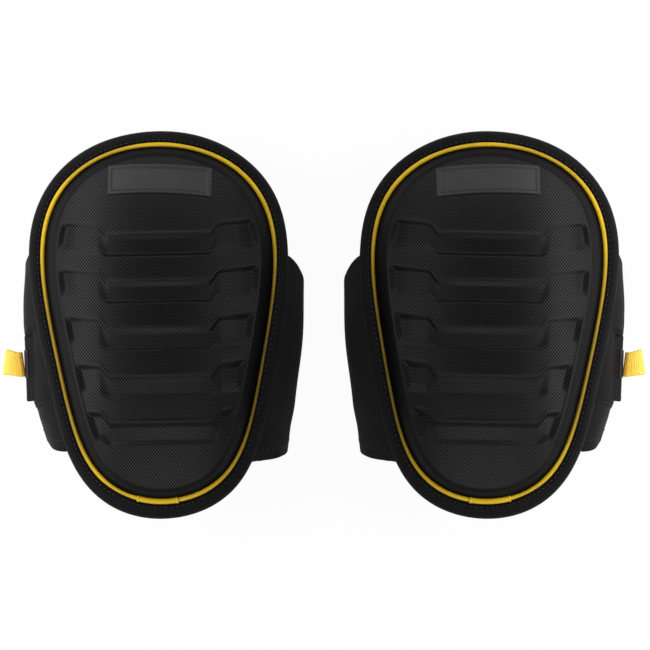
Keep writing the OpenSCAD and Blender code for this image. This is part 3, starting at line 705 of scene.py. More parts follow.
def capSurface():
    # rings of points: the flank by distance from the outline, the face by shares of the way to the middle
    run = cap["rimRun"]
    a = np.linspace(0, 2 * np.pi, cap["angles"] + 1)[None, :]
    d = np.linspace(cap["inset"], run, cap["rimRows"])[:, None]
    flank = rimAt(a, -d, 0)[..., :2]
    last = flank[-1:]
    share = np.linspace(1, 0, cap["rows"] + 1)[1:, None]
    xy = np.concatenate([flank, last * share[..., None]])
    deep = run + (1 - share) * (last * rimOut(a)).sum(-1)
    inside = np.concatenate([np.broadcast_to(d, flank.shape[:2]), deep])
    ground = mix(baseUnder(rimPoint(a)), baseUnder(xy), smooth(inside / run))
    dip, wear = capRelief(xy[..., 0], xy[..., 1], inside)
    top = np.dstack([xy, ground + capFlank(inside) - dip])
    # underside: down from the edge and in to the middle
    low = [rimAt(a, -cap["inset"], -cap["under"])]
    for ring in (flank[12:13], last * 0.5, last * 0):
        low.append(np.dstack([ring, baseUnder(ring) - cap["under"]]))
    grid = np.concatenate(low[::-1] + [top])
    below = ((len(low), 0), (0, 0))
    slope = np.pad(np.clip(run - inside, 0, None), below) / run
    cloth = grid[..., :2] * (1 + 0.04 * slope)[..., None]
    return grid, gridFaces(*grid.shape[:2]), cloth, np.pad(wear, below)


def twoFaces(xy, high, low):
    # an upper and a lower face over the same rings
    grid = np.concatenate([np.dstack([xy, high]), np.dstack([xy, low])[::-1]])
    return grid, gridFaces(*grid.shape[:2]), grid[..., :2]


# a padded layer of the pad: how deep its two faces lie under the base surface, and its quilting
layers = {"foam": (2.1, 7.9, 0.0), "liner": (8.1, 11.2, 0.9), "angles": 180, "rows": 46, "edge": 1.8, "pitch": 40,
          "pinch": 0.9}


def layerSurface(high, low, quilt):
    # both faces follow the base surface; the lower one has sewn channels where quilt is over nought
    a = np.linspace(0, 2 * np.pi, layers["angles"] + 1)
    share = np.linspace(0, 1, layers["rows"])[:, None]
    xy = rimAt(a, -layers["edge"], 0)[:, :2] * share[..., None]
    x, y = xy[..., 0], xy[..., 1]
    lines = np.minimum(*(np.abs(np.sin(np.pi * slant / layers["pitch"])) for slant in (x + y, x - y)))
    puff = quilt * (lines**0.5 - 0.6) * (1 - share**6)
    pinch = layers["pinch"] * share**24
    base = baseUnder(xy)
    return twoFaces(xy, base - high - pinch, base - low - puff + pinch)


# the piping: a covered cord sewn in between the cap and the edge
piping = {"radius": 1.55, "height": 1.25, "angles": 520, "sides": 16}
# where the bead is pinched: angle from the top towards the inner side, half width, how much thinner, how much painted
# shade
pinches = [(104, 42, 0.58, 1.0), (257, 36, 0.32, 0.8), (339, 17, 0.28, 0.45), (14, 10, 0.12, 0.15),
           (200, 8, 0.25, 0.2)]


def pipingSize(a):
    # the bead's radius and painted shade
    deg = np.degrees(a) % 360
    size, wear = piping["radius"], 0
    for place, half, thin, worn in pinches:
        near = np.exp(-np.abs(((deg - place + 180) % 360 - 180) / half) ** 3.2)
        size, wear = size - thin * near, wear + worn * near
    return size, wear


def pipingSurface():
    # a circle carried along the outline; the cord sinks as it thins
    a = np.linspace(0, 2 * np.pi, piping["angles"] + 1)[:, None]
    t = np.linspace(0, 2 * np.pi, piping["sides"] + 1)[None, :]
    size, wear = pipingSize(a)
    r = size * (1 + 0.012 * np.sin(a * 97))
    grid = rimAt(a, r * np.cos(t), piping["height"] - (piping["radius"] - r) * 1.5 + r * np.sin(t))
    s = lengthAlong(rimPoint(a[:, 0]))[:, None] + 0 * t
    return grid, gridFaces(*grid.shape[:2]), np.dstack([s, r * t]), wear + 0 * t


sleeve = {"radius": 1.9, "collar": 0.5, "start": 173.5, "stop": 191.5, "long": 28, "rows": 90, "sides": 24}


def sleeveSurface():
    # a tube over the cord's joint, with a rolled collar at each end
    rows, sides = sleeve["rows"], sleeve["sides"]
    share = np.linspace(0, 1, rows)[:, None]
    a = np.radians(mix(sleeve["start"], sleeve["stop"], share))
    t = np.linspace(0, 2 * np.pi, sides + 1)[None, :]
    end = np.minimum(share, 1 - share) * sleeve["long"]
    r = sleeve["radius"] * mix(0.75, 1, smooth(end / 0.5)) + sleeve["collar"] * bell(end - 0.7, 0.55)
    r = r + 0.04 * np.sin(share * 160)
    grid = rimAt(a, 0.2 + r * np.cos(t), piping["height"] + 0.25 + r * np.sin(t))
    last = (rows - 1) * (sides + 1)
    faces = gridFaces(rows, sides + 1) + [list(range(sides)), list(range(last, last + sides))]
    return grid, faces, np.dstack([sleeve["long"] * share + 0 * t, r * t])


# the padded edge: a rolled section carried round the outline
edge = {"side": 9.0, "bottom": 11.9, "angles": 560, "around": 56, "stitchAt": 0.36, "pucker": 0.16, "pitch": 3.6}
edgeSection = [(-1.7, -5.0), (-1.5, -0.9), (0.09, -0.55), (0.3, 0.25), (0.52, 0.35), (0.76, -0.75), (0.94, -2.9),
               (1.0, -5.3), (0.95, -8.0), (0.78, -10.6), (0.5, -11.9), (0.15, -12.0), (-1.5, -11.4), (-1.7, -8.5)]


def roundLoop(points, count):
    # closed smooth curve through points, each span a cubic with the chord between its neighbours as slope
    n = len(points)
    t = np.linspace(0, n, count + 1)
    i = np.floor(t).astype(int) % n
    f = (t - np.floor(t))[:, None]
    p0, p1, p2, p3 = (points[(i + k) % n] for k in (-1, 0, 1, 2))
    square, cube = 2 * p0 - 5 * p1 + 4 * p2 - p3, 3 * p1 - p0 - 3 * p2 + p3
    return 0.5 * (2 * p1 + (p2 - p0) * f + square * f**2 + cube * f**3)


def edgeWidth(a):
    # wider at the bottom, by the cube of the cosine there
    return mix(edge["side"], edge["bottom"], np.clip(-np.cos(a), 0, None) ** 3)


def edgeSurface():
    # where d is under nought the section point is in millimetres, otherwise a share of the width
    a = np.linspace(0, 2 * np.pi, edge["angles"] + 1)
    section = roundLoop(np.array(edgeSection), edge["around"])
    out, up = section[None, :, 0], section[None, :, 1]
    wide = edgeWidth(a)[:, None]
    d = np.where(out < 0, out, out * wide)
    s = lengthAlong(rimPoint(a))[:, None]
    onTop = bell(d / wide - edge["stitchAt"], 0.11) * (up > -3)
    turn = 2 * np.pi * s / s[-1]    # whole waves once round, so that the ring closes
    pull = onTop * (edge["pucker"] * np.cos(turn * round(s[-1, 0] / edge["pitch"])) + 0.45)
    soft = 0.22 * np.sin(turn * 7) * np.sin(turn * 3 + 1) * (d > 0.5 * wide)
    grid = rimAt(a[:, None], d + soft, up - pull)
    around = lengthAlong(section * np.array([edge["side"], 1.0]))[None, :]
    return grid, gridFaces(*grid.shape[:2]), np.dstack([s + 0 * d, around + 0 * d])


def edgeStitches(at, z, out, up):
    # a row round the edge: at is a share of its width; out and up say which way the thread faces
    a = np.linspace(0, 2 * np.pi, 900)
    face = np.column_stack([rimOut(a) * out, np.full(len(a), up)])
    return stitchRow(rimAt(a, edgeWidth(a) * at, z), face, pitch=edge["pitch"])


# the label: a bare moulded patch with a raised border, arched over the leg
label = {"half": 33.4, "low": 83.4, "high": 102.6, "arch": 1.9, "thick": 1.5, "border": 1.5, "raise": 0.55,
         "turn": -2.4, "over": 2.0}


def labelSurface():
    x = np.linspace(-label["half"], label["half"], 150)
    bow = label["arch"] * (1 - (x / label["half"]) ** 2)
    ends = []
    for y in (label["low"] + bow, label["high"] + bow):
        ends.append(np.column_stack([x, y, baseHeight(x, y) + cap["rise"] + 0.15]))
    wide = label["high"] - label["low"]
    full = 2 * label["half"]

    def border(s, v):
        # raised where a point is within the border's width of any side
        side = np.minimum(np.minimum(s, full - s), wide / 2 - np.abs(v))
        return label["raise"] * smooth((label["border"] + 0.5 - side) / 0.5) - 0.15 * smooth((side - 2.2) / 0.4)

    points, faces, cloth = softStrip(*ends, label["thick"], 70, lift=border, roundness=0.7)
    # the patch bends with the cap between its two long sides
    x, y = points[..., 0], points[..., 1]
    up = np.clip((y - label["low"]) / wide, 0, 1)
    chord = mix(baseHeight(x, label["low"]), baseHeight(x, label["high"]), up)
    points[..., 2] += np.clip(baseHeight(x, y) - chord, 0, 1)
    # sewn on a little aslant
    turn, middle = np.radians(label["turn"]), (label["low"] + label["high"]) / 2
    newX = x * np.cos(turn) - (y - middle) * np.sin(turn) + label["over"]
    newY = x * np.sin(turn) + (y - middle) * np.cos(turn) + middle
    points[..., 2] += baseHeight(newX, newY) - baseHeight(x, y)
    points[..., 0], points[..., 1] = newX, newY
    return points, faces, cloth


# the inner wing and the strap behind the leg: one neoprene panel, folded under
inner = {"thick": 4.0, "sewnU": 63.5, "topU": 72.8, "lowU": 58.8, "apex": 24.5, "topRadius": 16, "lowRadius": 30,
         "sweep": 33, "flatU": 72.6, "bend": 13.54, "strapEnd": 0.63, "corner": 9.0, "full": 2.5}
outer = {"thick": 4.0, "sewnU": 63.0, "topU": 68.3, "lowU": 42.3, "apex": 26.5, "topRadius": 14, "lowRadius": 40,
         "sweep": 29, "flatU": 76.5, "bend": 7.8, "corner": 12.0, "swell": 5.3}
# the strap's free end: elastic webbing that comes from under the panel and closes on the outer wing
strap = {"low": -30.5, "high": 13.5, "thick": 3.2, "radius": 45.9, "fold": 26, "top": 8, "root": 4.0, "corner": 2.5,
         "closed": 84, "stitchIn": 2.6}
pathStep = 0.9


def underRim(v, outerSide):
    # how far a wing's sewn edge has to rise to meet the padded edge over it
    return np.clip(baseUnder(sidePoint(64.5, v, 0.0, outerSide)) - 55.7, 0, 10)


def edgesOn(path, low, high, outerSide):
    # the two edge lines of a strip that follows a side's path
    return [sidePoint(path[:, 0], v, path[:, 1], outerSide) for v in (low, high)]


def cornerEase(left, radius):
    # how far an edge draws in near a strip's end, for a round corner
    return radius - np.sqrt(np.clip(radius**2 - np.clip(radius - left, 0, None) ** 2, 0, None))


def wingPath(wing, sewnZ, *more):
    # from the sewn edge over the shoulder and down the side; u outward, z up
    return evened(joined(
        lineRun(wing["sewnU"], sewnZ, wing["topU"], wing["apex"] + wing["topRadius"], 10),
        arcRun(wing["topU"], wing["apex"], wing["topRadius"], 90, 0, 40),
        arcRun(wing["lowU"], wing["apex"], wing["lowRadius"], 0, -wing["sweep"], 30), *more), pathStep)


def innerLimits(z, bent):
    # the wing's lower and upper edges by height, then the strap's own edges past the fold
    low = np.interp(z, [0, 24.5, 28, 34, 40, 41.6], [-58, -66.5, -68.6, -70.2, -73.4, -77])
    high = np.interp(z, [0, 9.5, 24.5, 34, 38.5, 42.5], [28, 28, 47.5, 55, 60.6, 67])
    low = np.where(bent, -58 - (z / 24.5) * 8.5, low)
    return softened(low, 4), softened(high, 5)


def innerOffset(s, v):
    # how far the inner wing stands off its path: up to the rim, fuller half way, and in slack waves
    rise = underRim(v, False) * (1 - smooth((s - 2) / 25)) * (s < 40)
    full = inner["full"] * bell(v + 1, 30) - 1.3 * smooth((-35 - v) / 18)
    fade = smooth((s - 12) / 16) * smooth((62 - s) / 22)
    return rise + fade * (full + 0.4 * np.sin(v / 11.0 + 0.6 * np.sin(s / 9.0)))


def innerPanel():
    fold = arcRun(inner["flatU"], 2 + inner["bend"], inner["bend"], -inner["sweep"], -90, 30)
    path = wingPath(inner, 41.6, fold)
    turned = np.arange(len(path)) > np.argmin(np.abs(path[:, 1] - 8.2) + 100 * (path[:, 0] < 75))
    low, high = innerLimits(path[:, 1], turned)
    a, b = edgesOn(path, low, high, False)
    # along the table, straight towards the outer fold's line, rising over the sewn-in strap's root
    t = np.linspace(0, inner["strapEnd"], 100)[1:, None]
    floorA = mix(a[-1], sidePoint(outer["flatU"], strap["low"], 2.0, True), t)
    floorB = mix(b[-1], sidePoint(outer["flatU"], strap["high"], 2.0, True), t)
    drawn = unit(floorB - floorA) * cornerEase((inner["strapEnd"] - t) * 150, inner["corner"])
    lifted = np.array([0, 0, 3.1]) * smooth((t - 0.36) / 0.1)
    floorA, floorB = floorA + drawn + lifted, floorB - drawn + lifted
    edgeA, edgeB = np.concatenate([a, floorA]), np.concatenate([b, floorB])
    thick = np.concatenate([np.full(len(a), inner["thick"]), inner["thick"] - 0.9 * smooth((t[:, 0] - 0.3) / 0.15)])
    run = lengthAlong((a + b) / 2)
    drape = lambda s, v: innerOffset(s, v + np.interp(s, run, (low + high) / 2))
    return softStrip(edgeA, edgeB, thick, 70, bend=drape), path, low, (floorA, floorB)


def rootStitches(floorA, floorB):
    # the box of stitches that holds the strap's root
    inset, top = 5.0, 6.62
    corners = np.array([floorA[72], floorB[72], floorB[-6], floorA[-6]])
    box = corners + unit(corners.mean(0) - corners) * inset
    box[:, 2] = top
    line = evened(np.concatenate([box, box[:1]]), 0.6)
    return stitchRow(line, np.tile([0.0, 0.0, 1.0], (len(line), 1)))


def outerLimits(path):
    z = path[:, 1]
    low = np.interp(z, [0, 26.5, 34, 39.1, 40.5, 41.4], [-50, -56.8, -61.8, -65.2, -66.5, -68])
    high = np.interp(z, [0, 26.5, 34, 39, 42.5], [42, 61, 65, 69, 72])
    ease = cornerEase(lengthAlong(path)[-1] - lengthAlong(path), outer["corner"])
    return softened(low, 5) + ease, softened(high, 6) - ease


def strapLean(v):
    # the closed strap stands further out towards its lower edge, and the wing with it
    return np.interp(v, [-60, -49, -42, -30, 13.5, 60], [-2.2, -0.2, 1.2, 2.8, -1.0, -2.0])


def outerOffset(s, v):
    # how far the outer wing stands off its path: up to the rim, then leaning with the strap
    return underRim(v, True) * (1 - smooth((s - 2) / 22)) + strapLean(v) * smooth((s - 8) / 14)


def outerPanel():
    path = wingPath(outer, 41.4)
    low, high = outerLimits(path)
    a, b = edgesOn(path, low, high, True)
    run = lengthAlong((a + b) / 2)
    # the edges run from high to low here, so v counts down the pad
    place = lambda s, v: np.interp(s, run, (low + high) / 2) - v

    def drape(s, v):
        slack = 0.4 * smooth((s - 12) / 16) * smooth((place(s, v) - 20) / 8)
        return outerOffset(s, place(s, v)) + slack * np.sin(v / 9.0 + 0.5 * np.sin(s / 8.0))

    def swell(s, v):
        # the wing stands fuller above the strap, where nothing presses on it
        above = place(s, v) - 12.0 - 0.33 * np.clip(27 - s, 0, 14)
        return outer["swell"] * smooth(above / 1.2) * (1 - smooth((above - 6) / 46)) * smooth((s - 9) / 14)

    return softStrip(b, a, outer["thick"], 70, bend=drape, lift=swell), path, low


def offPath(path, s, v, out, outerSide):
    # a line on a side and the way it faces: s along the path, v along the pad, out off the path's outer side
    run = lengthAlong(path)
    along = unit(np.gradient(path, axis=0))
    at = lambda column: np.interp(s, run, column)
    u, z, nu, nz = at(path[:, 0]), at(path[:, 1]), at(-along[:, 1]), at(along[:, 0])
    points = sidePoint(u + nu * out, v, z + nz * out, outerSide)
    return points, sidePoint(u + nu * (out + 1), v, z + nz * (out + 1), outerSide) - points


# the hem: a turned-over edge along a wing's lower side, a little proud of it
hem = {"wide": 9.0, "thick": 1.1, "first": 8, "share": 0.62, "out": 1.5, "stitchIn": 2.0, "stitchOut": 2.05}


def hemStrip(path, low, outerSide, offset):
    keep = slice(hem["first"], int(len(path) * hem["share"]))
    run, low = lengthAlong(path)[keep], low[keep]
    on = lambda v, out: offPath(path, run, v, out + offset(run, v), outerSide)
    a, b = (on(v, hem["out"])[0] for v in (low - 0.15, low + hem["wide"]))
    strip = softStrip(*((b, a) if outerSide else (a, b)), hem["thick"], 14)
    return strip, stitchRow(*on(low + hem["wide"] - hem["stitchIn"], hem["stitchOut"]))


# the sewn strips that hang the wings from the rim
seam = {"low": -44, "high": 56, "wide": 8.5, "inner": 65.3, "outer": 66.3, "thick": 2.8, "under": 11.4}


def seamBar(u, outerSide):
    v = np.linspace(seam["low"], seam["high"], 110)
    a = sidePoint(u, v, 0.0, outerSide)
    b = sidePoint(u + seam["wide"], v, 0.0, outerSide)
    a[:, 2] = b[:, 2] = baseUnder((a + b) / 2) - seam["under"] - seam["thick"] / 2
    gather = lambda s, v: 0.18 * np.sin(s * 2 * np.pi / 3.4)
    return softStrip(a, b, seam["thick"], 14, bend=gather, roundness=1.3)


def strapRun():
    return evened(joined(
        lineRun(strap["root"], 1.65, outer["flatU"], 1.9, 30),
        arcRun(outer["flatU"], 1.9 + outer["bend"], outer["bend"], -90, -strap["fold"], 24),
        arcRun(outer["lowU"], outer["apex"], strap["radius"], -strap["fold"] + 0.3, strap["top"], 40)), pathStep)


def lipPress(angle):
    # how far the strap's lip is drawn in on the pile, by its angle round the side in degrees
    return 3.4 * smooth(angle / 8.5)


def strapPanel():
    path = strapRun()
    run = lengthAlong(path)
    left = run[-1] - run
    ease = cornerEase(left, strap["corner"])
    a, b = edgesOn(path, strap["low"] + ease, strap["high"] - ease, True)
    thick = strap["thick"] - 2.6 * (1 - smooth(left / 7))
    middle = (strap["low"] + strap["high"]) / 2

    def offset(s, v):
        # leans with the wing, and its lip is pressed down on the pile
        angle = strap["top"] - np.degrees((run[-1] - s) / strap["radius"])
        return strapLean(v) * smooth((s - 81) / 10) - lipPress(angle)

    piece = softStrip(a, b, thick, 50, bend=lambda s, v: offset(s, v + middle), roundness=0.9)
    # stitches round the closed part, on its outer face
    stop = run[-1] - 2.4
    up = np.linspace(strap["closed"], stop, 60)
    across = np.linspace(strap["low"] + strap["stitchIn"], strap["high"] - strap["stitchIn"], 80)
    s = np.concatenate([up, np.full(len(across), stop), up[::-1]])
    v = np.concatenate([np.full(len(up), across[0]), across, np.full(len(up), across[-1])])
    face = np.interp(run[-1] - s, left[::-1], thick[::-1]) / 2
    points, normal = offPath(path, s, v, -(face + offset(s, v)), True)
    return piece, stitchRow(points, -normal)


# thin patches on the arc of the strap's end: radius, angles from and to, lower and upper edge
patches = {"hook": (43.75, -22, 2, -27.5, 10.5), "anchor": (47.7, -9, 4, -14.7, 3.7), "thick": 0.9}


def bentPatch(radius, start, stop, low, high):
    # leans with the strap's end
    path = evened(arcRun(outer["lowU"], outer["apex"], radius, start, stop, 40), 0.8)
    lean = lambda s, v: strapLean(v + (low + high) / 2) - lipPress(start + np.degrees(s / radius))
    return softStrip(*edgesOn(path, low, high, True), patches["thick"], 30, bend=lean)


# the pile panel: over the outer wing's shoulder and down its side, slanted as it goes under the rim
loop = {"low": -36.0, "high": 14.2, "slantLow": 0.16, "slantHigh": 0.33, "thick": 1.0, "off": 2.55, "stitchIn": 1.6}


def loopPatch():
    path = evened(joined(
        arcRun(outer["topU"], outer["apex"], outer["topRadius"] + loop["off"], 72, 0, 30),
        arcRun(outer["lowU"], outer["apex"], outer["lowRadius"] + loop["off"], 0, -26, 30)), pathStep)
    s = lengthAlong(path)
    short = np.clip(20 - s, 0, None)
    low, high = loop["low"] + loop["slantLow"] * short, loop["high"] + loop["slantHigh"] * short
    a, b = edgesOn(path, low, high, True)
    onWing = lambda run: 9.8 + run * 0.86
    place = lambda run, v: np.interp(run, s, (low + high) / 2) - v
    sewn = lambda run, v: 0.7 * smooth((np.interp(run, s, low) + 4 - place(run, v)) / 4)
    drape = lambda run, v: outerOffset(onWing(run), place(run, v)) - sewn(run, v)
    rows = [stitchRow(*offPath(path, s, v, out + outerOffset(onWing(s), v), True))
            for v, out in ((low + loop["stitchIn"], 0.0), (high - loop["stitchIn"], 0.5))]
    return softStrip(b, a, loop["thick"], 44, bend=drape), rows


# the pull tab: folded yellow webbing, its free end a little up the pad
tab = {"low": -13.7, "high": 2.7, "skew": 3.0, "thick": 1.7, "rootZ": 21.5, "foldZ": 28.5, "bend": 1.9, "droop": 0.9,
       "reachLow": 105.6, "reachHigh": 101.2, "root": 92.3}


def tabPanel():
    bendU, bendZ = tab["root"] + tab["bend"], tab["foldZ"] - tab["bend"]
    rise = lineRun(tab["root"], tab["rootZ"], tab["root"], bendZ, 8)
    turn = arcRun(bendU, bendZ, tab["bend"], 180, 90, 12)
    t = np.linspace(0, 1, 26)[:, None]
    edges = []
    for v, reach in ((tab["low"], tab["reachLow"]), (tab["high"], tab["reachHigh"])):
        far = np.column_stack([mix(bendU, reach, t), tab["foldZ"] - tab["droop"] * t**2])
        path = joined(rise, turn, far)
        shift = np.concatenate([np.zeros(len(rise) + len(turn) - 1), t[1:, 0] * tab["skew"]])
        edges.append(sidePoint(path[:, 0], v + shift, path[:, 1], True))
    return softStrip(*edges, tab["thick"], 34)


# the gel cushion under the knee, puffed up by a short cloth run; top and low are depths under the base surface
gel = {"share": 0.5, "under": 11.4, "deep": 6.6, "puff": 4.0, "most": 5.0, "frames": 20, "voxel": 0.0045,
       "channelAt": 18, "channel": 2.8, "top": 11.3, "low": 18.6}


def gelSurface():
    # a lens under the lining: full in the middle, thin at its edge
    share = np.linspace(0, 1, 30)[:, None]
    xy = rimPoint(np.linspace(0, 2 * np.pi, 121)) * gel["share"] * share[..., None]
    top = baseUnder(xy) - gel["under"]
    return twoFaces(xy, top, top - gel["deep"] * np.clip(1 - share**3, 0, 1) ** 0.6)


def pointsOf(mesh):
    points = np.zeros(len(mesh.vertices) * 3)
    mesh.vertices.foreach_get("co", points)
    return points.reshape(-1, 3)


def puffUp(piece, side):
    # cloth with air inside, gravity off; no point moves further than the most allowed, and the top stays flat
    scene = bpy.context.scene
    bpy.context.view_layer.objects.active = piece
    remesh = piece.modifiers.new("even", "REMESH")
    remesh.mode, remesh.voxel_size = "VOXEL", gel["voxel"]
    bpy.ops.object.modifier_apply(modifier="even")
    start = pointsOf(piece.data)
    air = piece.modifiers.new("air", "CLOTH")
    air.settings.use_pressure = True
    air.settings.uniform_pressure_force = gel["puff"]
    air.settings.effector_weights.gravity = 0
    air.point_cache.frame_start, air.point_cache.frame_end = 1, gel["frames"]
    for step in range(1, gel["frames"] + 1):
        scene.frame_set(step)
    shaped = piece.evaluated_get(bpy.context.evaluated_depsgraph_get())
    shift = pointsOf(shaped.data) - start
    piece.modifiers.remove(air)
    scene.frame_set(1)
    far = np.linalg.norm(shift, axis=1, keepdims=True)
    print(side, "gel cushion puffed, mm:", round(float(far.max()) * 1000, 2), "points:", len(start))
    p = (start + shift * np.minimum(1, gel["most"] / 1000 / np.maximum(far, 1e-9))) * 1000
    # in the pad's own frame: the sewn cross channels, then the roof of the lining
    way = ways[side]
    t = -way * np.radians(pair["lean"])
    x, y = p[:, 0] - way * pair["spacing"] / 2, p[:, 1] - pair["shift"]
    x, y = x * np.cos(t) + y * np.sin(t), y * np.cos(t) - x * np.sin(t)
    base = baseHeight(x, y)
    groove = bell(np.abs(y) - gel["channelAt"], 2.0)
    p[:, 2] += gel["channel"] * groove * smooth((base - gel["top"] - p[:, 2]) / 6)
    p[:, 2] = np.clip(p[:, 2], base - gel["low"], base - gel["top"])
    piece.data.vertices.foreach_set("co", p.ravel() / 1000)
    piece.data.update()
    layCloth(piece.data, np.column_stack([x, y]))
    smoother = piece.modifiers.new("fine", "SUBSURF")
    smoother.levels = smoother.render_levels = 1
    bpy.ops.object.modifier_apply(modifier="fine")
    piece.data.polygons.foreach_set("use_smooth", np.ones(len(piece.data.polygons), bool))


def settle(piece, slot, body, *solids):
    # rides on its body, stands for its solids and takes their slot; a piece with no body is blended later
    if body:
        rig.ride(piece, body)
    if solids:
        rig.replaces(piece, *solids)
    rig.slot(piece, slot)
    return piece


def dressPad(side):
    pad, rear, wing, end, pull = (side + b for b in ("_pad", "_rear_strap", "_outer_wing", "_strap_end", "_pull_tab"))
    at = lambda u, v, z, outerSide: padPlace(sidePoint(u, v, z, outerSide), side)

    def add(name, surface, finish, slot, body, *solids):
        piece = makePiece(side + name, side, finish, *surface)
        return settle(piece, slot, body, *(side + solid for solid in solids))

    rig.padded(add("Cap", capSurface(), wovenCap, "woven_cap", pad, "_cap"), 0.95)
    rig.padded(add("Foam", layerSurface(*layers["foam"]), darkFoam, "foam", pad, "_foam_core"), 1.0)
    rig.padded(add("Lining", layerSurface(*layers["liner"]), lining, "lining", pad, "_knee_liner"), 0.7)
    piece = makePiece(side + "GelCushion", side, lining, *gelSurface())
    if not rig.quick():
        puffUp(piece, side)
    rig.padded(settle(piece, "lining", pad, side + "_gel_cushion"), 0.8)
    print(side, "pad layers done")

    add("Piping", pipingSurface(), yellowBead, "yellow_bead", pad, "_piping")
    add("PipingSleeve", sleeveSurface(), yellowBead, "yellow_bead", pad, "_piping_sleeve")
    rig.padded(add("Edge", edgeSurface(), edgeFabric, "edge_fabric", pad, "_edge_binding"), 0.85)
    rows = edgeStitches(edge["stitchAt"], -0.05, 0.0, 1.0), edgeStitches(0.9, -9.2, 0.85, -0.5)
    add("EdgeStitches", threads(*rows), thread, "edge_fabric", pad)
    add("Label", labelSurface(), labelRubber, "label", pad, "_label_patch")
    print(side, "edge and label done")

    surface, path, low, floors = innerPanel()
    piece = add("InnerPanel", surface, neoprene, "neoprene", None, "_inner_wing", "_rear_strap")
    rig.blend(piece, pad, rear, at(83.9, -15.0, 15.0, False), at(83.9, -15.0, 6.7, False))
    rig.sheet(piece, flat=(0.139, 0.175), held="folded", rests_on=[side + "Lining"], area=0.0166)
    surface, row = hemStrip(path, low, False, innerOffset)
    add("InnerHem", surface, neoprene, "neoprene", pad, "_inner_hem")
    add("InnerSeam", seamBar(seam["inner"], False), edgeFabric, "edge_fabric", pad, "_inner_seam")
    add("InnerStitches", row, thread, "neoprene", pad)
    add("RearStitches", rootStitches(*floors), thread, "neoprene", rear)
    print(side, "inner side done")

    surface, path, low = outerPanel()
    piece = add("OuterPanel", surface, neoprene, "neoprene", None, "_outer_wing")
    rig.blend(piece, pad, wing, at(64.0, 0.0, 41.0, True), at(72.0, 0.0, 39.5, True))
    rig.sheet(piece, flat=(0.133, 0.047), held="hung", rests_on=[side + "OuterSeam"])
    surface, row = hemStrip(path, low, True, outerOffset)
    add("OuterHem", surface, neoprene, "neoprene", wing, "_outer_hem")
    add("OuterSeam", seamBar(seam["outer"], True), edgeFabric, "edge_fabric", pad, "_outer_seam")
    surface, rows = loopPatch()
    piece = add("LoopPanel", surface, loopPile, "loop_fabric", wing, "_loop_panel")
    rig.sheet(piece, flat=(0.0505, 0.041), held="laid", rests_on=[side + "OuterPanel"])
    add("OuterStitches", threads(row, *rows), thread, "neoprene", wing)

    surface, row = strapPanel()
    piece = add("StrapEnd", surface, neoprene, "neoprene", None, "_strap_end")
    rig.blend(piece, rear, end, at(84.0, -12.0, 4.0, True), at(84.0, -12.0, 12.0, True))
    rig.sheet(piece, flat=(0.044, 0.117), held="folded", rests_on=[side + "LoopPanel"])
    add("StrapStitches", row, thread, "neoprene", end)
    piece = add("HookPatch", bentPatch(*patches["hook"]), hookPlastic, "hook_plastic", end, "_hook_patch")
    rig.sheet(piece, flat=(0.038, 0.0183), held="laid", rests_on=[side + "StrapEnd"])
    piece = add("TabAnchor", bentPatch(*patches["anchor"]), blackWebbing, "black_webbing", end, "_tab_anchor")
    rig.sheet(piece, flat=(0.0184, 0.0108), held="laid", rests_on=[side + "StrapEnd"])
    piece = add("PullTab", tabPanel(), yellowWebbing, "yellow_webbing", None, "_pull_tab")
    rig.blend(piece, end, pull, at(92.4, -5.5, 27.0, True), at(94.3, -5.5, 28.6, True))
    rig.sheet(piece, flat=(0.0164, 0.019), held="hung", rests_on=[side + "TabAnchor"])
    print(side, "outer side done")


for side in ways:
    dressPad(side)


# floor, light and camera, in metres. A lamp: its place, what it looks at, its width and height, and watts
studio = {"floor": (0.75, 0.75, 0.75, 1), "floorHalf": 25, "floorZ": -0.0004, "seen": 0.95, "sky": 0.095}
sideLamps = {"Box": ((0.5, 0.06, 0.32), (0.1, 0.06, 0.06), (0.9, 0.2), 2.55),
             "Fill": ((-0.9, 0.1, 0.9), (0, 0, 0.05), (0.5, 0.8), 3.3)}
bothLamps = {"backBox": ((0, 0.62, 0.6), (0, 0.06, 0.06), (1.6, 0.2), 3.9),
             "frontBox": ((0, -1.0, 1.15), (0, 0, 0.05), (1.6, 0.6), 8.8)}
eye = {"place": (0.0007, 0.0, 10.055), "lens": 839.2, "near": 0.05, "far": 60}


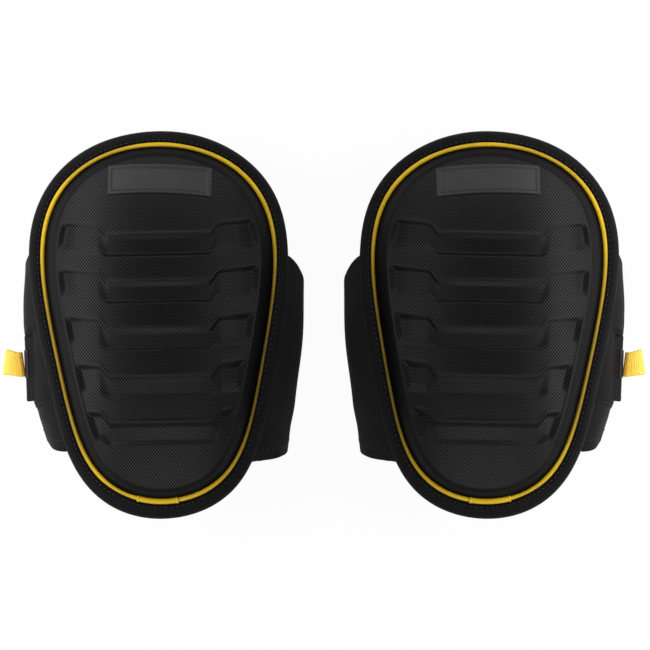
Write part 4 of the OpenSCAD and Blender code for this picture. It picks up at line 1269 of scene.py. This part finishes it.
def studioFloor():
    # white to the eye, with the object's shadow left in it
    half = studio["floorHalf"]
    mesh = bpy.data.meshes.new("floor")
    corners = [(-half, -half), (half, -half), (half, half), (-half, half)]
    mesh.from_pydata([(x, y, studio["floorZ"]) for x, y in corners], [], [(0, 1, 2, 3)])
    floor = bpy.data.objects.new("floor", mesh)
    bpy.context.scene.collection.objects.link(floor)
    f = Finish("studio floor")
    f.finishWith(studio["floor"], 0.9, Specular_IOR_Level=0.0)
    seen = f.wire("ShaderNodeLightPath", output="Is Camera Ray") * studio["seen"]
    glow = f.node("ShaderNodeEmission", {}, {"Color": (1, 1, 1, 1), "Strength": 1.0})
    both = f.node("ShaderNodeMixShader", {}, {0: seen, 1: f.shader.outputs[0], 2: glow.outputs[0]})
    f.plug(f.output.inputs[0], both.outputs[0])
    mesh.materials.append(f.material)
    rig.stage(floor)


def padPieces(side):
    # what a side light falls on: each pad has its own two, as in the photo
    group = bpy.data.collections.new(side + " pad")
    for piece in bpy.data.objects:
        if piece.type == "MESH" and piece.name.startswith((side, "floor")):
            group.objects.link(piece)
    return group


def softBox(name, place, aim, size, watts, way=1, lit=None):
    # way is -1 for the mirrored place; lit is what it lights, or everything
    lamp = bpy.data.lights.new(name, "AREA")
    lamp.shape, lamp.size, lamp.size_y, lamp.energy = "RECTANGLE", *size, watts
    box = bpy.data.objects.new(name, lamp)
    place, aim = (Vector((way * x, y, z)) for x, y, z in (place, aim))
    box.location = place
    box.rotation_euler = (aim - place).to_track_quat("-Z", "Y").to_euler()
    bpy.context.scene.collection.objects.link(box)
    box.light_linking.receiver_collection = lit


studioFloor()
for side, way in ways.items():
    lit = padPieces(side)
    for name, lamp in sideLamps.items():
        softBox(side + name, *lamp, way, lit)
for name, lamp in bothLamps.items():
    softBox(name, *lamp)

scene = bpy.context.scene
scene.world = bpy.data.worlds.new("studio")
scene.world.use_nodes = True
skyTree = scene.world.node_tree
sky = skyTree.nodes["Background"]
sky.inputs[0].default_value = (1, 1, 1, 1)
seenSky = skyTree.nodes.new("ShaderNodeMapRange")    # white to the eye, dim as a light
seenSky.inputs["To Min"].default_value = studio["sky"]
seenSky.inputs["To Max"].default_value = 1.0
skyTree.links.new(skyTree.nodes.new("ShaderNodeLightPath").outputs["Is Camera Ray"], seenSky.inputs["Value"])
skyTree.links.new(seenSky.outputs[0], sky.inputs[1])
scene.view_settings.view_transform = "Standard"

camera = bpy.data.cameras.new("camera")
camera.lens, camera.clip_start, camera.clip_end = eye["lens"], eye["near"], eye["far"]
cameraObject = bpy.data.objects.new("camera", camera)
cameraObject.location = eye["place"]
scene.collection.objects.link(cameraObject)
scene.camera = cameraObject
print("studio set")

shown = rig.bounds()
with open("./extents.json", "w") as out:
    json.dump({"cad": [list(p) for p in cadBox], "visual": [list(p) for p in shown]}, out)
